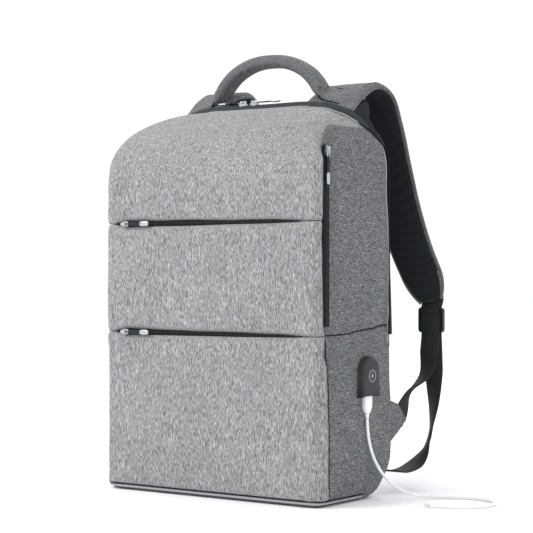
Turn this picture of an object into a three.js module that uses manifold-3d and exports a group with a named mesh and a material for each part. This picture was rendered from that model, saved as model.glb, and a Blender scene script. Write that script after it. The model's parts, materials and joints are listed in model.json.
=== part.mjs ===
// A laptop backpack that stands by itself, with a charging socket on its right side.
// Millimetres, +Z up, +X the right side seen from the front, and the front faces -Y.
// The origin is the middle of the underside.

import * as THREE from 'three';
import { mergeVertices } from 'three/addons/utils/BufferGeometryUtils.js';
import Module from 'manifold-3d';

const wasm = await Module();
wasm.setup();

// ---------------------------------------------------------------- driving dimensions

const GAP = 0.3; // between pieces that touch
const WALL = 4; // padded fabric wall

// Body, seen from the front
const WIDTH = 300;
const DEPTH = 150;
const HEIGHT = 450;
const CROWN_HALF = 60; // half of the flat stretch on top
const SHOULDER_DROP = 75; // from the top down to where the sides are straight
const BASE_CORNER = 12;

// Body, seen from the side
const BROW_DROP = 100; // from the top down to where the front is flat
const CREST_Y = DEPTH / 2 - 60; // where the flat top starts behind the brow
const BACK_CORNER = 20;
const HEEL_RISE = 80; // the rounded heel at the bottom of the back
const HEEL_RUN = 27;

// Body, seen from above
const FRONT_CORNER = 14;
const REAR_CORNER = 18;

// Seams
const RIM = 5; // base and back panels turn round the edge by this much
const BASE_PANEL_TOP = 95;
const SIDE_SEAM_Y = -DEPTH / 2 + 19;
const SIDE_PANEL_DROP = 30; // top of the side panels, below the top
const SIDE_PANEL_CORNER = 30; // radius of their upper front corner
const GUSSET_FRONT_Y = DEPTH / 2 - 55;
const GUSSET_WIDTH = 14;
const GUSSET_END_Z = 170;
const GUSSET_BEND_DROP = 50;

// Zips
const SLIT = 8;
const TAPE_WIDTH = 24;
const TAPE = 1;
const CHAIN_WIDTH = 4;
const CHAIN_RECESS = 1.4;
const CHAIN_PROUD = 1.5; // main zip, which stands on its gusset
const LOWER_ZIP_Z = 186;
const UPPER_ZIP_DROP = 138;
const POCKET_ZIP_INSET = 16; // from each side of the bag to the end of a pocket zip
const SIDE_ZIP_TOP_DROP = 53;
const SIDE_ZIP_LENGTH = 202;

// Zip sliders and pulls
const SLIDER_LENGTH = 10;
const SLIDER_WIDTH = 6.8;
const SLIDER_HEIGHT = 3.6;
const BRIDGE_LENGTH = 8;
const BRIDGE_WIDTH = 2;
const BRIDGE_HEIGHT = 3.2;
const PIN_RADIUS = 0.6;
const PIN_CLEARANCE = 0.4;
const PULL_LENGTH = 38;
const PULL_WIDTH = 6;
const PULL_THICKNESS = 1.2;
const PULL_NECK = 7; // from the pin to where the strip starts
const FRONT_SLIDER_INSET = 30;
const MAIN_SLIDER_X = [-24, -8];

// Pockets and inner panels
const POUCH_WALL = 1.5;
const FRONT_POUCH_DEPTH = 20;
const FRONT_POUCH_INSET = 20;
const SIDE_POUCH = { deep: 10, from: -DEPTH / 2 + 33, to: DEPTH / 2 - 45, height: 180 };
const BANK_POUCH = { wide: 28, from: -DEPTH / 2 + 45, to: DEPTH / 2 - 41, height: 80 };
const BOARD = 2.5;
const FRAME_SHEET = 1.5;
const DIVIDER = { y: DEPTH / 2 - 37, thick: 2.5, height: 320 };
const ORGANISER = { y: -DEPTH / 2 + 27, thick: 4, height: 360 };

// Back padding
const PAD_THICKNESS = 9;
const PAD_BULGE = 3; // how far the pad's face stands in from its foot
const PAD_CORNER = 16;
const BACK_PAD = { from: 25, to: 118, low: 200, top_drop: 42 };
const LUMBAR_PAD = { half: 118, low: 104, high: 184 };

// Carry handle
const HANDLE_HALF_SPAN = 76;
const HANDLE_Y = DEPTH / 2 - 25;
const HANDLE_BREADTH = 26;
const HANDLE_THICKNESS = 13;
const HANDLE_APEX_RISE = 58; // centre of the grip above the top
const HANDLE_SQUARENESS = 2.1;
const HANDLE_ROOM = 1; // between the feet of the grip and the top
const YOKE = { from: 84, to: 124, front: DEPTH / 2 - 37, back: DEPTH / 2 - 11, thick: 10 };
const PATCH = { from: 87, to: 115, front: DEPTH / 2 - 35, back: DEPTH / 2 - 13, thick: 2.5 };

// Shoulder straps
const STRAP_THICKNESS = 11;
const STRAP_WIDTH_TOP = 64;
const STRAP_WIDTH_END = 46;
const STRAP_X = 93;
const STRAP_PIVOT_BACK = 3; // the seam's distance in front of the back face
const STRAP_PIVOT_RISE = 12; // and above the top
// Middle of the strap from its seam down to the adjuster: out, back and up from the seam.
const STRAP_ROUTE = [
  [0, 0, 0], [1, 11, 11], [3, 27, 16], [6, 48, 4], [10, 63, -34],
  [17, 71, -82], [25, 78, -132], [35, 87, -179], [47, 98, -222], [52, 103, -240],
];

// Webbing and its hardware
const WEBBING_WIDTH = 25;
const WEBBING = 1.8;
const ADJUSTER = { wide: 34, tall: 30, thick: 4.5, bar: 4.5, below: 9 };
const TAB_THICKNESS = 3;
const TAB_INSET = 7; // from the bag's side to the tab
const TAB_LOW_Z = 50;
const TAB_HIGH_Z = 114;
const TAB_REACH = 48; // how far its point stands behind the back face
const TAB_POINT_Z = 82;
const TAB_EDGE = { run: 19, rise: 20 }; // the slanting end that the webbing is sewn to
const ADJUSTER_OFFSET = { out: 1, back: 2 }; // from the strap's end
const WEBBING_START = 0.5; // below the adjuster

// Charging socket on the right side
const HOOD_Y = DEPTH / 2 - 59;
const HOOD_BOTTOM_Z = 116;
const HOOD_WIDTH = 36;
const HOOD_HEIGHT = 46;
const HOOD_STAND = 14;
const HOOD_NECK_RADIUS = 5;
const HOOD_ROOF = 16; // solid rubber above the cavity
const HOOD_BEVEL = 2.5;
const HOOD_CAVITY_EDGE = 3.7; // rubber left on each side of the cavity
const NECK_DROP = 12; // from the top of the hood to its neck
const SOCKET = { wide: 13.5, thick: 6.5, skin: 0.6, mouth_above_hood: 8, tongue: 1.6, tongue_inset: 1.5 };
const PLUG_SHELL = { wide: 11.5, thick: 4.5, insertion: 12, skin: 0.5 };
const PLUG_GRIP = { wide: 15.5, thick: 7.6, length: 25, neck: 6, neck_wall: 0.9, corner: 2.4 };
const SHELL_SEAT = 0.05; // between the plug's shell and its grip
const BACKING = { size: 32, thick: 1.5 };

// Lead from the plug to its far connector
const LEAD_DIAMETER = 3.5;
const LEAD_STEPS = 42;
const CONNECTOR = { long: 14, wide: 8, tall: 5.5, tip_long: 7, tip_wide: 6.6, tip_tall: 1.8 };
// Middle of the lead: out of the plug, down to the floor and along it in a loose curve.
const LEAD_ROUTE = [
  [157.3, 16, 92.4], [157.8, 16.6, 79], [159.5, 18.5, 62], [163, 22.5, 46], [168.5, 29, 31],
  [176, 38, 18.5], [185, 49, 9.5], [196, 61, 4.2], [209, 72.5, 2.3], [224, 82, 1.95],
  [240, 88, 1.95], [256, 89.5, 1.95], [271, 86, 1.95], [284, 78, 1.95], [292, 66, 1.95],
  [294, 52, 1.95], [290, 38.5, 1.95], [281, 27, 1.95], [269, 19, 1.95], [255, 15, 1.95],
];
const EXTENSION_DIAMETER = 4;

// Facets
const ARC_STEPS = 4;
const SHOULDER_STEPS = 7;
const SHOULDER_SQUARENESS = 2.3;
const STRAP_STEPS = 17;
const HANDLE_STEPS = 16;
const WEBBING_STEPS = 28;
const OVERSHOOT = 60; // how far a cutting block runs past what it cuts

// ---------------------------------------------------------------- derived places

const HALF = WIDTH / 2;
const FRONT_Y = -DEPTH / 2;
const BACK_Y = DEPTH / 2;
const UPPER_ZIP_Z = HEIGHT - UPPER_ZIP_DROP;
const SIDE_TOP_Z = HEIGHT - SIDE_PANEL_DROP;
const SIDE_ZIP_TOP_Z = HEIGHT - SIDE_ZIP_TOP_DROP;
const SIDE_ZIP_LOW_Z = SIDE_ZIP_TOP_Z - SIDE_ZIP_LENGTH;
const GUSSET_BACK_Y = GUSSET_FRONT_Y + GUSSET_WIDTH;
const GUSSET_SIDE_Y = BACK_Y - RIM;
const PIN_HEIGHT = SLIDER_HEIGHT + PIN_CLEARANCE + PIN_RADIUS;
const HANDLE_PIVOT_Z = HEIGHT + GAP + HANDLE_BREADTH / 2 + HANDLE_ROOM;
const STRAP_PIVOT = new THREE.Vector3(
  STRAP_X, BACK_Y - STRAP_PIVOT_BACK, HEIGHT + STRAP_PIVOT_RISE);
const PLUG_X = HALF + GAP + HOOD_STAND / 2;
const SOCKET_MOUTH_Z = HOOD_BOTTOM_Z + SOCKET.mouth_above_hood;
const SOCKET_TOP_Z = HOOD_BOTTOM_Z + HOOD_HEIGHT - HOOD_ROOF - GAP;
const NECK_Z = HOOD_BOTTOM_Z + HOOD_HEIGHT - NECK_DROP;

// ---------------------------------------------------------------- geometry helpers

const X_AXIS = new THREE.Vector3(1, 0, 0);
const Y_AXIS = new THREE.Vector3(0, 1, 0);
const Z_AXIS = new THREE.Vector3(0, 0, 1);
const SIDE_VIEW = new THREE.Matrix4().makeBasis(Y_AXIS, Z_AXIS, X_AXIS);
const FRONT_VIEW = new THREE.Matrix4().makeBasis(X_AXIS, Z_AXIS, Y_AXIS.clone().negate());

function solid(geometry) {
  const bare = geometry.clone();
  bare.deleteAttribute('normal');
  bare.deleteAttribute('uv');
  const merged = mergeVertices(bare, 1e-4);
  return new wasm.Manifold(new wasm.Mesh({
    numProp: 3,
    vertProperties: new Float32Array(merged.attributes.position.array),
    triVerts: new Uint32Array(merged.index.array),
  }));
}

function geometryOf(manifold) {
  const mesh = manifold.getMesh();
  const geometry = new THREE.BufferGeometry();
  geometry.setAttribute('position', new THREE.BufferAttribute(new Float32Array(mesh.vertProperties), 3));
  geometry.setIndex(new THREE.BufferAttribute(new Uint32Array(mesh.triVerts), 1));
  geometry.computeVertexNormals();
  return geometry;
}

function extrude(shape, depth, steps = 1) {
  return new THREE.ExtrudeGeometry(shape, { depth, steps, bevelEnabled: false, curveSegments: ARC_STEPS });
}

// An outline of (x, z) carried from y0 to y1.
function prismAlongY(shape, y0, y1) {
  const geometry = extrude(shape, y1 - y0);
  geometry.translate(0, 0, -y1);
  geometry.applyMatrix4(FRONT_VIEW);
  return solid(geometry);
}

// An outline of (y, z) carried from x0 to x1.
function prismAlongX(shape, x0, x1) {
  const geometry = extrude(shape, x1 - x0);
  geometry.translate(0, 0, x0);
  geometry.applyMatrix4(SIDE_VIEW);
  return solid(geometry);
}

// An outline of (x, y) carried from z0 to z1.
function prismAlongZ(shape, z0, z1) {
  const geometry = extrude(shape, z1 - z0);
  geometry.translate(0, 0, z0);
  return solid(geometry);
}

function block(x0, x1, y0, y1, z0, z1) {
  const geometry = new THREE.BoxGeometry(x1 - x0, y1 - y0, z1 - z0);
  geometry.translate((x0 + x1) / 2, (y0 + y1) / 2, (z0 + z1) / 2);
  return solid(geometry);
}

function rod(centre, axis, radius, length, sides = 16) {
  const geometry = new THREE.CylinderGeometry(radius, radius, length, sides);
  geometry.applyQuaternion(new THREE.Quaternion().setFromUnitVectors(Y_AXIS, axis));
  geometry.translate(centre.x, centre.y, centre.z);
  return solid(geometry);
}

function polygon(points) {
  return new THREE.Shape(points.map(([u, v]) => new THREE.Vector2(u, v)));
}

function roundedRectangle(u0, u1, v0, v1, corner) {
  const shape = new THREE.Shape();
  shape.moveTo(u0 + corner, v0);
  shape.lineTo(u1 - corner, v0);
  shape.absarc(u1 - corner, v0 + corner, corner, -Math.PI / 2, 0);
  shape.absarc(u1 - corner, v1 - corner, corner, 0, Math.PI / 2);
  shape.absarc(u0 + corner, v1 - corner, corner, Math.PI / 2, Math.PI);
  shape.absarc(u0 + corner, v0 + corner, corner, Math.PI, 1.5 * Math.PI);
  return shape;
}

// A quarter of a superellipse from angle a0 to a1, as points of an outline.
function superQuarter(centreU, centreV, radiusU, radiusV, a0, a1, power) {
  const points = [];
  for (let i = 0; i <= SHOULDER_STEPS; i += 1) {
    const angle = a0 + ((a1 - a0) * i) / SHOULDER_STEPS;
    const c = Math.cos(angle);
    const s = Math.sin(angle);
    const u = centreU + radiusU * Math.sign(c) * Math.abs(c) ** (2 / power);
    const v = centreV + radiusV * Math.sign(s) * Math.abs(s) ** (2 / power);
    points.push(new THREE.Vector2(u, v));
  }
  return points;
}

// A flat band, padded ones with a rounded section. Its middle follows the curve, and acrossAt(u)
// is its width direction at u from 0 to 1.
function band(curve, { widthStart, widthEnd = widthStart, thickness, steps, acrossAt, padded }) {
  const halfWide = widthStart / 2;
  const halfThick = thickness / 2;
  const section = padded
    ? roundedRectangle(-halfWide, halfWide, -halfThick, halfThick, thickness * 0.45)
    : polygon([[-halfWide, -halfThick], [halfWide, -halfThick], [halfWide, halfThick],
      [-halfWide, halfThick]]);
  const geometry = new THREE.ExtrudeGeometry(
    section, { depth: 1, steps, bevelEnabled: false, curveSegments: 2 });
  const position = geometry.attributes.position;
  for (let i = 0; i < position.count; i += 1) {
    const u = Math.min(Math.max(position.getZ(i), 0), 1);
    const tangent = curve.getTangentAt(u);
    const across = acrossAt(u).clone().addScaledVector(tangent, -acrossAt(u).dot(tangent)).normalize();
    const normal = tangent.clone().cross(across);
    const spread = THREE.MathUtils.lerp(1, widthEnd / widthStart, u);
    const place = curve.getPointAt(u)
      .addScaledVector(across, position.getX(i) * spread)
      .addScaledVector(normal, position.getY(i));
    position.setXYZ(i, place.x, place.y, place.z);
  }
  return solid(geometry);
}

function curveThrough(points) {
  return new THREE.CatmullRomCurve3(points.map((p) => new THREE.Vector3(...p)), false, 'centripetal');
}

function tube(curve, diameter, sides, steps) {
  const circle = new THREE.Shape();
  for (let i = 0; i < sides; i += 1) {
    const angle = (2 * Math.PI * i) / sides;
    const place = [0.5 * diameter * Math.cos(angle), 0.5 * diameter * Math.sin(angle)];
    if (i === 0) circle.moveTo(...place);
    else circle.lineTo(...place);
  }
  return solid(new THREE.ExtrudeGeometry(circle, { steps, extrudePath: curve, bevelEnabled: false }));
}

// ---------------------------------------------------------------- the body's outer form

function frontOutline(inset) {
  const shape = new THREE.Shape();
  const half = HALF - inset;
  const corner = BASE_CORNER - Math.min(inset, BASE_CORNER - 1);
  const shoulderZ = HEIGHT - SHOULDER_DROP;
  const run = HALF - CROWN_HALF - inset;
  const rise = SHOULDER_DROP - inset;
  shape.moveTo(-half + corner, inset);
  shape.lineTo(half - corner, inset);
  shape.absarc(half - corner, inset + corner, corner, -Math.PI / 2, 0);
  const right = superQuarter(CROWN_HALF, shoulderZ, run, rise, 0, Math.PI / 2, SHOULDER_SQUARENESS);
  const left = superQuarter(-CROWN_HALF, shoulderZ, run, rise, Math.PI / 2, Math.PI, SHOULDER_SQUARENESS);
  for (const point of [...right, ...left]) shape.lineTo(point.x, point.y);
  shape.absarc(-half + corner, inset + corner, corner, Math.PI, 1.5 * Math.PI);
  return shape;
}

function sideOutline(inset) {
  const shape = new THREE.Shape();
  const front = FRONT_Y + inset;
  const back = BACK_Y - inset;
  const corner = BASE_CORNER - Math.min(inset, BASE_CORNER - 1);
  const topCorner = BACK_CORNER - inset;
  const heelY = BACK_Y - HEEL_RUN;
  const browZ = HEIGHT - BROW_DROP;
  shape.moveTo(front + corner, inset);
  shape.lineTo(heelY, inset);
  shape.absellipse(heelY, HEEL_RISE, HEEL_RUN - inset, HEEL_RISE - inset, -Math.PI / 2, 0);
  shape.absarc(back - topCorner, HEIGHT - inset - topCorner, topCorner, 0, Math.PI / 2);
  const brow = superQuarter(
    CREST_Y, browZ, CREST_Y - front, BROW_DROP - inset, Math.PI / 2, Math.PI, SHOULDER_SQUARENESS);
  for (const point of brow) shape.lineTo(point.x, point.y);
  shape.absarc(front + corner, inset + corner, corner, Math.PI, 1.5 * Math.PI);
  return shape;
}

function planOutline(inset) {
  const shape = new THREE.Shape();
  const half = HALF - inset;
  const front = FRONT_Y + inset;
  const back = BACK_Y - inset;
  const frontCorner = FRONT_CORNER - inset;
  const rearCorner = REAR_CORNER - inset;
  shape.moveTo(-half + frontCorner, front);
  shape.absarc(half - frontCorner, front + frontCorner, frontCorner, -Math.PI / 2, 0);
  shape.absarc(half - rearCorner, back - rearCorner, rearCorner, 0, Math.PI / 2);
  shape.absarc(-half + rearCorner, back - rearCorner, rearCorner, Math.PI / 2, Math.PI);
  shape.absarc(-half + frontCorner, front + frontCorner, frontCorner, Math.PI, 1.5 * Math.PI);
  return shape;
}

// The bag's whole form, moved inwards by inset, or outwards where it is negative.
function form(inset) {
  const reachX = HALF + OVERSHOOT;
  const reachY = BACK_Y + OVERSHOOT;
  return prismAlongX(sideOutline(inset), -reachX, reachX)
    .intersect(prismAlongY(frontOutline(inset), -reachY, reachY))
    .intersect(prismAlongZ(planOutline(inset), -OVERSHOOT, HEIGHT + OVERSHOOT));
}

const outer = form(0);
const lining = form(WALL + GAP); // the room inside, kept clear of the wall
const shell = outer.subtract(form(WALL));

// ---------------------------------------------------------------- shell panels

function acrossBag(points) {
  return prismAlongX(polygon(points), -HALF - OVERSHOOT, HALF + OVERSHOOT);
}

function slab(y0, y1, z0, z1) {
  return block(-HALF - OVERSHOOT, HALF + OVERSHOOT, y0, y1, z0, z1);
}

const FAR_FRONT = FRONT_Y - OVERSHOOT;
const FAR_BACK = BACK_Y + OVERSHOOT;
const FAR_UP = HEIGHT + OVERSHOOT;
const HALF_GAP = GAP / 2;

// The gusset's front or rear edge in the side view, from its lower end up and over the top.
function gussetEdge(topY, sideY, shift) {
  return [
    [sideY + shift, GUSSET_END_Z],
    [sideY + shift, HEIGHT - GUSSET_BEND_DROP],
    [topY + shift, HEIGHT - WALL],
    [topY + shift, FAR_UP],
  ];
}

function gussetStrip(frontShift, rearShift) {
  const front = gussetEdge(GUSSET_FRONT_Y, GUSSET_SIDE_Y - GUSSET_WIDTH, frontShift);
  const rear = gussetEdge(GUSSET_BACK_Y, GUSSET_SIDE_Y, rearShift);
  return acrossBag([...front, ...rear.reverse()]);
}

const gussetPrism = gussetStrip(0, 0);
const gussetRoom = gussetStrip(-HALF_GAP, HALF_GAP);
const behindGusset = acrossBag([
  ...gussetEdge(GUSSET_BACK_Y, GUSSET_SIDE_Y, 0), [FAR_BACK, FAR_UP], [FAR_BACK, GUSSET_END_Z],
]);
const sideCore = prismAlongX(sideOutline(RIM + HALF_GAP), -HALF - OVERSHOOT, HALF + OVERSHOOT);
const rimRegion = outer.subtract(prismAlongX(sideOutline(RIM), -HALF - OVERSHOOT, HALF + OVERSHOOT));

const sideZipSlot = block(
  HALF - WALL - OVERSHOOT, HALF + OVERSHOOT,
  SIDE_SEAM_Y - SLIT / 2, SIDE_SEAM_Y + SLIT / 2, SIDE_ZIP_LOW_Z, SIDE_ZIP_TOP_Z);
const neckHole = rod(
  new THREE.Vector3(HALF, HOOD_Y, NECK_Z), X_AXIS, HOOD_NECK_RADIUS + GAP, OVERSHOOT);

// What a rounded corner leaves of the side panels' upper front corner, less a margin.
function sidePanelCorner(margin) {
  const y = SIDE_SEAM_Y + SIDE_PANEL_CORNER;
  const z = SIDE_TOP_Z - SIDE_PANEL_CORNER;
  const round = rod(new THREE.Vector3(0, y, z), X_AXIS, SIDE_PANEL_CORNER + margin, 4 * HALF, 32);
  return slab(FAR_FRONT, y, z, FAR_UP).subtract(round);
}

function frontPanel(z0, z1) {
  return shell.intersect(slab(FAR_FRONT, SIDE_SEAM_Y - HALF_GAP, z0, z1)).subtract(sideZipSlot);
}

function frontPanelUpper() {
  const z0 = UPPER_ZIP_Z + SLIT / 2;
  const face = slab(FAR_FRONT, SIDE_SEAM_Y - HALF_GAP, z0, FAR_UP);
  const over = slab(FAR_FRONT, FAR_BACK, SIDE_TOP_Z + HALF_GAP, FAR_UP);
  const reach = face.add(over.subtract(behindGusset).subtract(gussetRoom)).add(sidePanelCorner(HALF_GAP));
  return shell.intersect(reach).subtract(sideZipSlot);
}

function sidePanel(side, z0, z1) {
  const room = slab(SIDE_SEAM_Y + HALF_GAP, FAR_BACK, z0, z1)
    .subtract(behindGusset).subtract(gussetRoom).subtract(sidePanelCorner(-HALF_GAP));
  const half = side > 0
    ? block(0, HALF + OVERSHOOT, FAR_FRONT, FAR_BACK, 0, FAR_UP)
    : block(-HALF - OVERSHOOT, 0, FAR_FRONT, FAR_BACK, 0, FAR_UP);
  const panel = shell.intersect(sideCore).intersect(room).intersect(half);
  return side > 0 ? panel.subtract(sideZipSlot).subtract(neckHole) : panel;
}

function basePanel() {
  const below = slab(FAR_FRONT, SIDE_SEAM_Y, -OVERSHOOT, RIM)
    .add(slab(SIDE_SEAM_Y - 1, FAR_BACK, -OVERSHOOT, BASE_PANEL_TOP));
  return shell.intersect(rimRegion).intersect(below);
}

function backPanel() {
  const above = slab(FAR_FRONT, FAR_BACK, BASE_PANEL_TOP + GAP, FAR_UP);
  const upper = behindGusset.subtract(gussetRoom);
  const lower = slab(GUSSET_SIDE_Y, FAR_BACK, 0, GUSSET_END_Z + 1).intersect(rimRegion);
  return shell.intersect(upper.add(lower)).intersect(above);
}

// ---------------------------------------------------------------- zips

function pocketZip(z) {
  const half = HALF - POCKET_ZIP_INSET;
  const back = FRONT_Y + WALL + GAP;
  const tape = block(-half, half, back, back + TAPE, z - TAPE_WIDTH / 2, z + TAPE_WIDTH / 2);
  const chain = block(-half, half, FRONT_Y + CHAIN_RECESS, back + TAPE / 2, z - CHAIN_WIDTH / 2,
    z + CHAIN_WIDTH / 2);
  return tape.add(chain);
}

function sideZip() {
  const back = HALF - WALL - GAP;
  const tape = block(back - TAPE, back, SIDE_SEAM_Y - TAPE_WIDTH / 4, SIDE_SEAM_Y + TAPE_WIDTH / 2,
    SIDE_ZIP_LOW_Z, SIDE_ZIP_TOP_Z).intersect(lining);
  const chain = block(back - TAPE / 2, HALF, SIDE_SEAM_Y - CHAIN_WIDTH / 2, SIDE_SEAM_Y + CHAIN_WIDTH / 2,
    SIDE_ZIP_LOW_Z + GAP, SIDE_ZIP_TOP_Z - GAP).intersect(form(CHAIN_RECESS));
  return tape.add(chain);
}

function mainZip() {
  const edge = (GUSSET_WIDTH - CHAIN_WIDTH) / 2;
  const skin = form(-CHAIN_PROUD).subtract(form(-GAP));
  return skin.intersect(gussetStrip(edge, -edge));
}

// A slider whose chain runs along local X, with its outer face towards local +Z.
function slider() {
  const half = SLIDER_LENGTH / 2;
  const side = SLIDER_WIDTH / 2;
  const plan = polygon([[-half, -side * 0.6], [half * 0.3, -side], [half, -side * 0.7],
    [half, side * 0.7], [half * 0.3, side], [-half, side * 0.6]]);
  const body = prismAlongZ(plan, 0, SLIDER_HEIGHT);
  const top = SLIDER_HEIGHT + BRIDGE_HEIGHT;
  const bridge = block(-BRIDGE_LENGTH / 2, BRIDGE_LENGTH / 2, -BRIDGE_WIDTH / 2, BRIDGE_WIDTH / 2,
    SLIDER_HEIGHT / 2, top);
  const clear = PIN_RADIUS + PIN_CLEARANCE;
  const window = block(-clear * 1.4, clear * 1.4, -BRIDGE_WIDTH, BRIDGE_WIDTH, PIN_HEIGHT - clear,
    PIN_HEIGHT + clear);
  return body.add(bridge).subtract(window);
}

// A pull that lies along local +X from its pin, which is at the local origin.
function pull() {
  const arm = 1;
  const reach = BRIDGE_WIDTH / 2 + PIN_CLEARANCE + arm;
  const pin = rod(new THREE.Vector3(0, 0, 0), Y_AXIS, PIN_RADIUS, 2 * reach, 8);
  const halfThick = PULL_THICKNESS / 2;
  const arms = block(-PIN_RADIUS, PULL_NECK + 1, -reach, reach, -halfThick, halfThick)
    .subtract(block(-2, PULL_NECK - 2, -reach + arm, reach - arm, -2, 2));
  const strip = prismAlongZ(
    roundedRectangle(PULL_NECK - 1.5, PULL_LENGTH, -PULL_WIDTH / 2, PULL_WIDTH / 2, 1.4), -halfThick, halfThick);
  return pin.add(arms).add(strip);
}

// ---------------------------------------------------------------- pockets and inner panels

// An open box: the pouch's outside less its inside, which runs out through the open face.
function pouch(x0, x1, y0, y1, z0, z1, open) {
  const w = POUCH_WALL;
  const reach = { top: [0, w, 0], front: [w, 0, 0] }[open];
  return block(x0, x1, y0, y1, z0, z1)
    .subtract(block(x0 + w, x1 - w, y0 + w - 2 * reach[0], y1 - w, z0 + w, z1 - w + 2 * reach[1]));
}

function frontPouch(z0, z1) {
  const half = HALF - FRONT_POUCH_INSET;
  const front = FRONT_Y + WALL + 2 * GAP;
  return pouch(-half, half, front, front + FRONT_POUCH_DEPTH, z0, z1, 'top');
}

function extensionLead() {
  const pouchX = HALF - WALL - 2 * GAP - BANK_POUCH.wide / 2;
  const endX = HALF - WALL - 2 * GAP - BACKING.thick - 4;
  return tube(curveThrough([
    [pouchX, HOOD_Y - 6, BANK_POUCH.height], [pouchX, HOOD_Y - 5, BANK_POUCH.height + 30],
    [pouchX + 2, HOOD_Y - 2, NECK_Z - 12], [pouchX + 5, HOOD_Y, NECK_Z - 2], [endX, HOOD_Y, NECK_Z],
  ]), EXTENSION_DIAMETER, 8, 12);
}

// ---------------------------------------------------------------- back pads, handle and straps

function backPad(x0, x1, z0, z1) {
  const front = BACK_Y + GAP;
  const b = PAD_BULGE;
  return prismAlongY(roundedRectangle(x0, x1, z0, z1, PAD_CORNER), front, front + PAD_THICKNESS - b)
    .add(prismAlongY(roundedRectangle(x0 + b, x1 - b, z0 + b, z1 - b, PAD_CORNER - b), front,
      front + PAD_THICKNESS));
}

function handleArch() {
  const points = [];
  const count = 16;
  const rise = HEIGHT + HANDLE_APEX_RISE - HANDLE_PIVOT_Z;
  for (let i = 0; i <= count; i += 1) {
    const angle = Math.PI - (Math.PI * i) / count;
    const c = Math.cos(angle);
    const s = Math.sin(angle);
    points.push([
      HANDLE_HALF_SPAN * Math.sign(c) * Math.abs(c) ** (2 / HANDLE_SQUARENESS),
      HANDLE_Y,
      HANDLE_PIVOT_Z + rise * Math.abs(s) ** (2 / HANDLE_SQUARENESS),
    ]);
  }
  return curveThrough(points);
}

function carryHandle() {
  let handle = band(handleArch(), {
    widthStart: HANDLE_BREADTH, thickness: HANDLE_THICKNESS, steps: HANDLE_STEPS, acrossAt: () => Y_AXIS,
    padded: true,
  });
  for (const side of [-1, 1]) {
    const foot = new THREE.Vector3(side * HANDLE_HALF_SPAN, HANDLE_Y, HANDLE_PIVOT_Z);
    handle = handle.add(rod(foot, X_AXIS, HANDLE_BREADTH / 2, HANDLE_THICKNESS));
  }
  return handle;
}

// A piece that hugs the bag's top behind the main zip, from one distance above it to another.
function layer(low, high, side, x0, x1, y0, y1) {
  const xs = side > 0 ? [x0, x1] : [-x1, -x0];
  return form(-high).subtract(form(-low))
    .intersect(block(xs[0], xs[1], y0, y1, HEIGHT - SHOULDER_DROP, FAR_UP))
    .subtract(gussetRoom);
}

function mirrored(points, side) {
  return points.map(([x, y, z]) => [side * x, y, z]);
}

function strapPoint(index, side) {
  const [x, y, z] = STRAP_ROUTE[index];
  return [side * (STRAP_PIVOT.x + x), STRAP_PIVOT.y + y, STRAP_PIVOT.z + z];
}

function shoulderStrap(side) {
  const curve = curveThrough(STRAP_ROUTE.map((_, i) => strapPoint(i, side)));
  const outwards = new THREE.Vector3(side, 0, 0);
  const strap = band(curve, {
    widthStart: STRAP_WIDTH_TOP, widthEnd: STRAP_WIDTH_END, thickness: STRAP_THICKNESS, steps: STRAP_STEPS,
    acrossAt: () => outwards, padded: true,
  });
  const seam = new THREE.Vector3(side * STRAP_PIVOT.x, STRAP_PIVOT.y, STRAP_PIVOT.z);
  return strap.add(rod(seam, X_AXIS, STRAP_THICKNESS / 2, STRAP_WIDTH_TOP - STRAP_THICKNESS, 12));
}

// Middle of the adjuster, which hangs from the end of the strap.
function adjusterPlace(side) {
  const [x, y, z] = strapPoint(STRAP_ROUTE.length - 1, side);
  return [x + side * ADJUSTER_OFFSET.out, y + ADJUSTER_OFFSET.back, z - ADJUSTER.below - ADJUSTER.tall / 2];
}

function adjuster(side) {
  const [x, y, z] = adjusterPlace(side);
  const halfWide = ADJUSTER.wide / 2;
  const halfTall = ADJUSTER.tall / 2;
  let frame = prismAlongY(
    roundedRectangle(x - halfWide, x + halfWide, z - halfTall, z + halfTall, 4),
    y - ADJUSTER.thick / 2, y + ADJUSTER.thick / 2);
  const windowTall = (ADJUSTER.tall - 3 * ADJUSTER.bar) / 2;
  for (const low of [z - halfTall + ADJUSTER.bar, z + ADJUSTER.bar / 2]) {
    frame = frame.subtract(block(x - halfWide + ADJUSTER.bar, x + halfWide - ADJUSTER.bar,
      y - ADJUSTER.thick, y + ADJUSTER.thick, low, low + windowTall));
  }
  return frame;
}

// The grey fabric triangle, in the side view, that the lower webbing is sewn to.
const TAB_POINT = [BACK_Y + TAB_REACH, TAB_POINT_Z];
const TAB_SHOULDER = [TAB_POINT[0] - TAB_EDGE.run, TAB_POINT_Z + TAB_EDGE.rise];

function anchorTab(side) {
  const inside = BACK_Y - REAR_CORNER;
  const plate = polygon([[inside, TAB_LOW_Z], TAB_POINT, TAB_SHOULDER, [inside, TAB_HIGH_Z]]);
  const x = side * (HALF - TAB_INSET);
  return prismAlongX(plate, x - TAB_THICKNESS / 2, x + TAB_THICKNESS / 2).subtract(form(-GAP));
}

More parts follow.
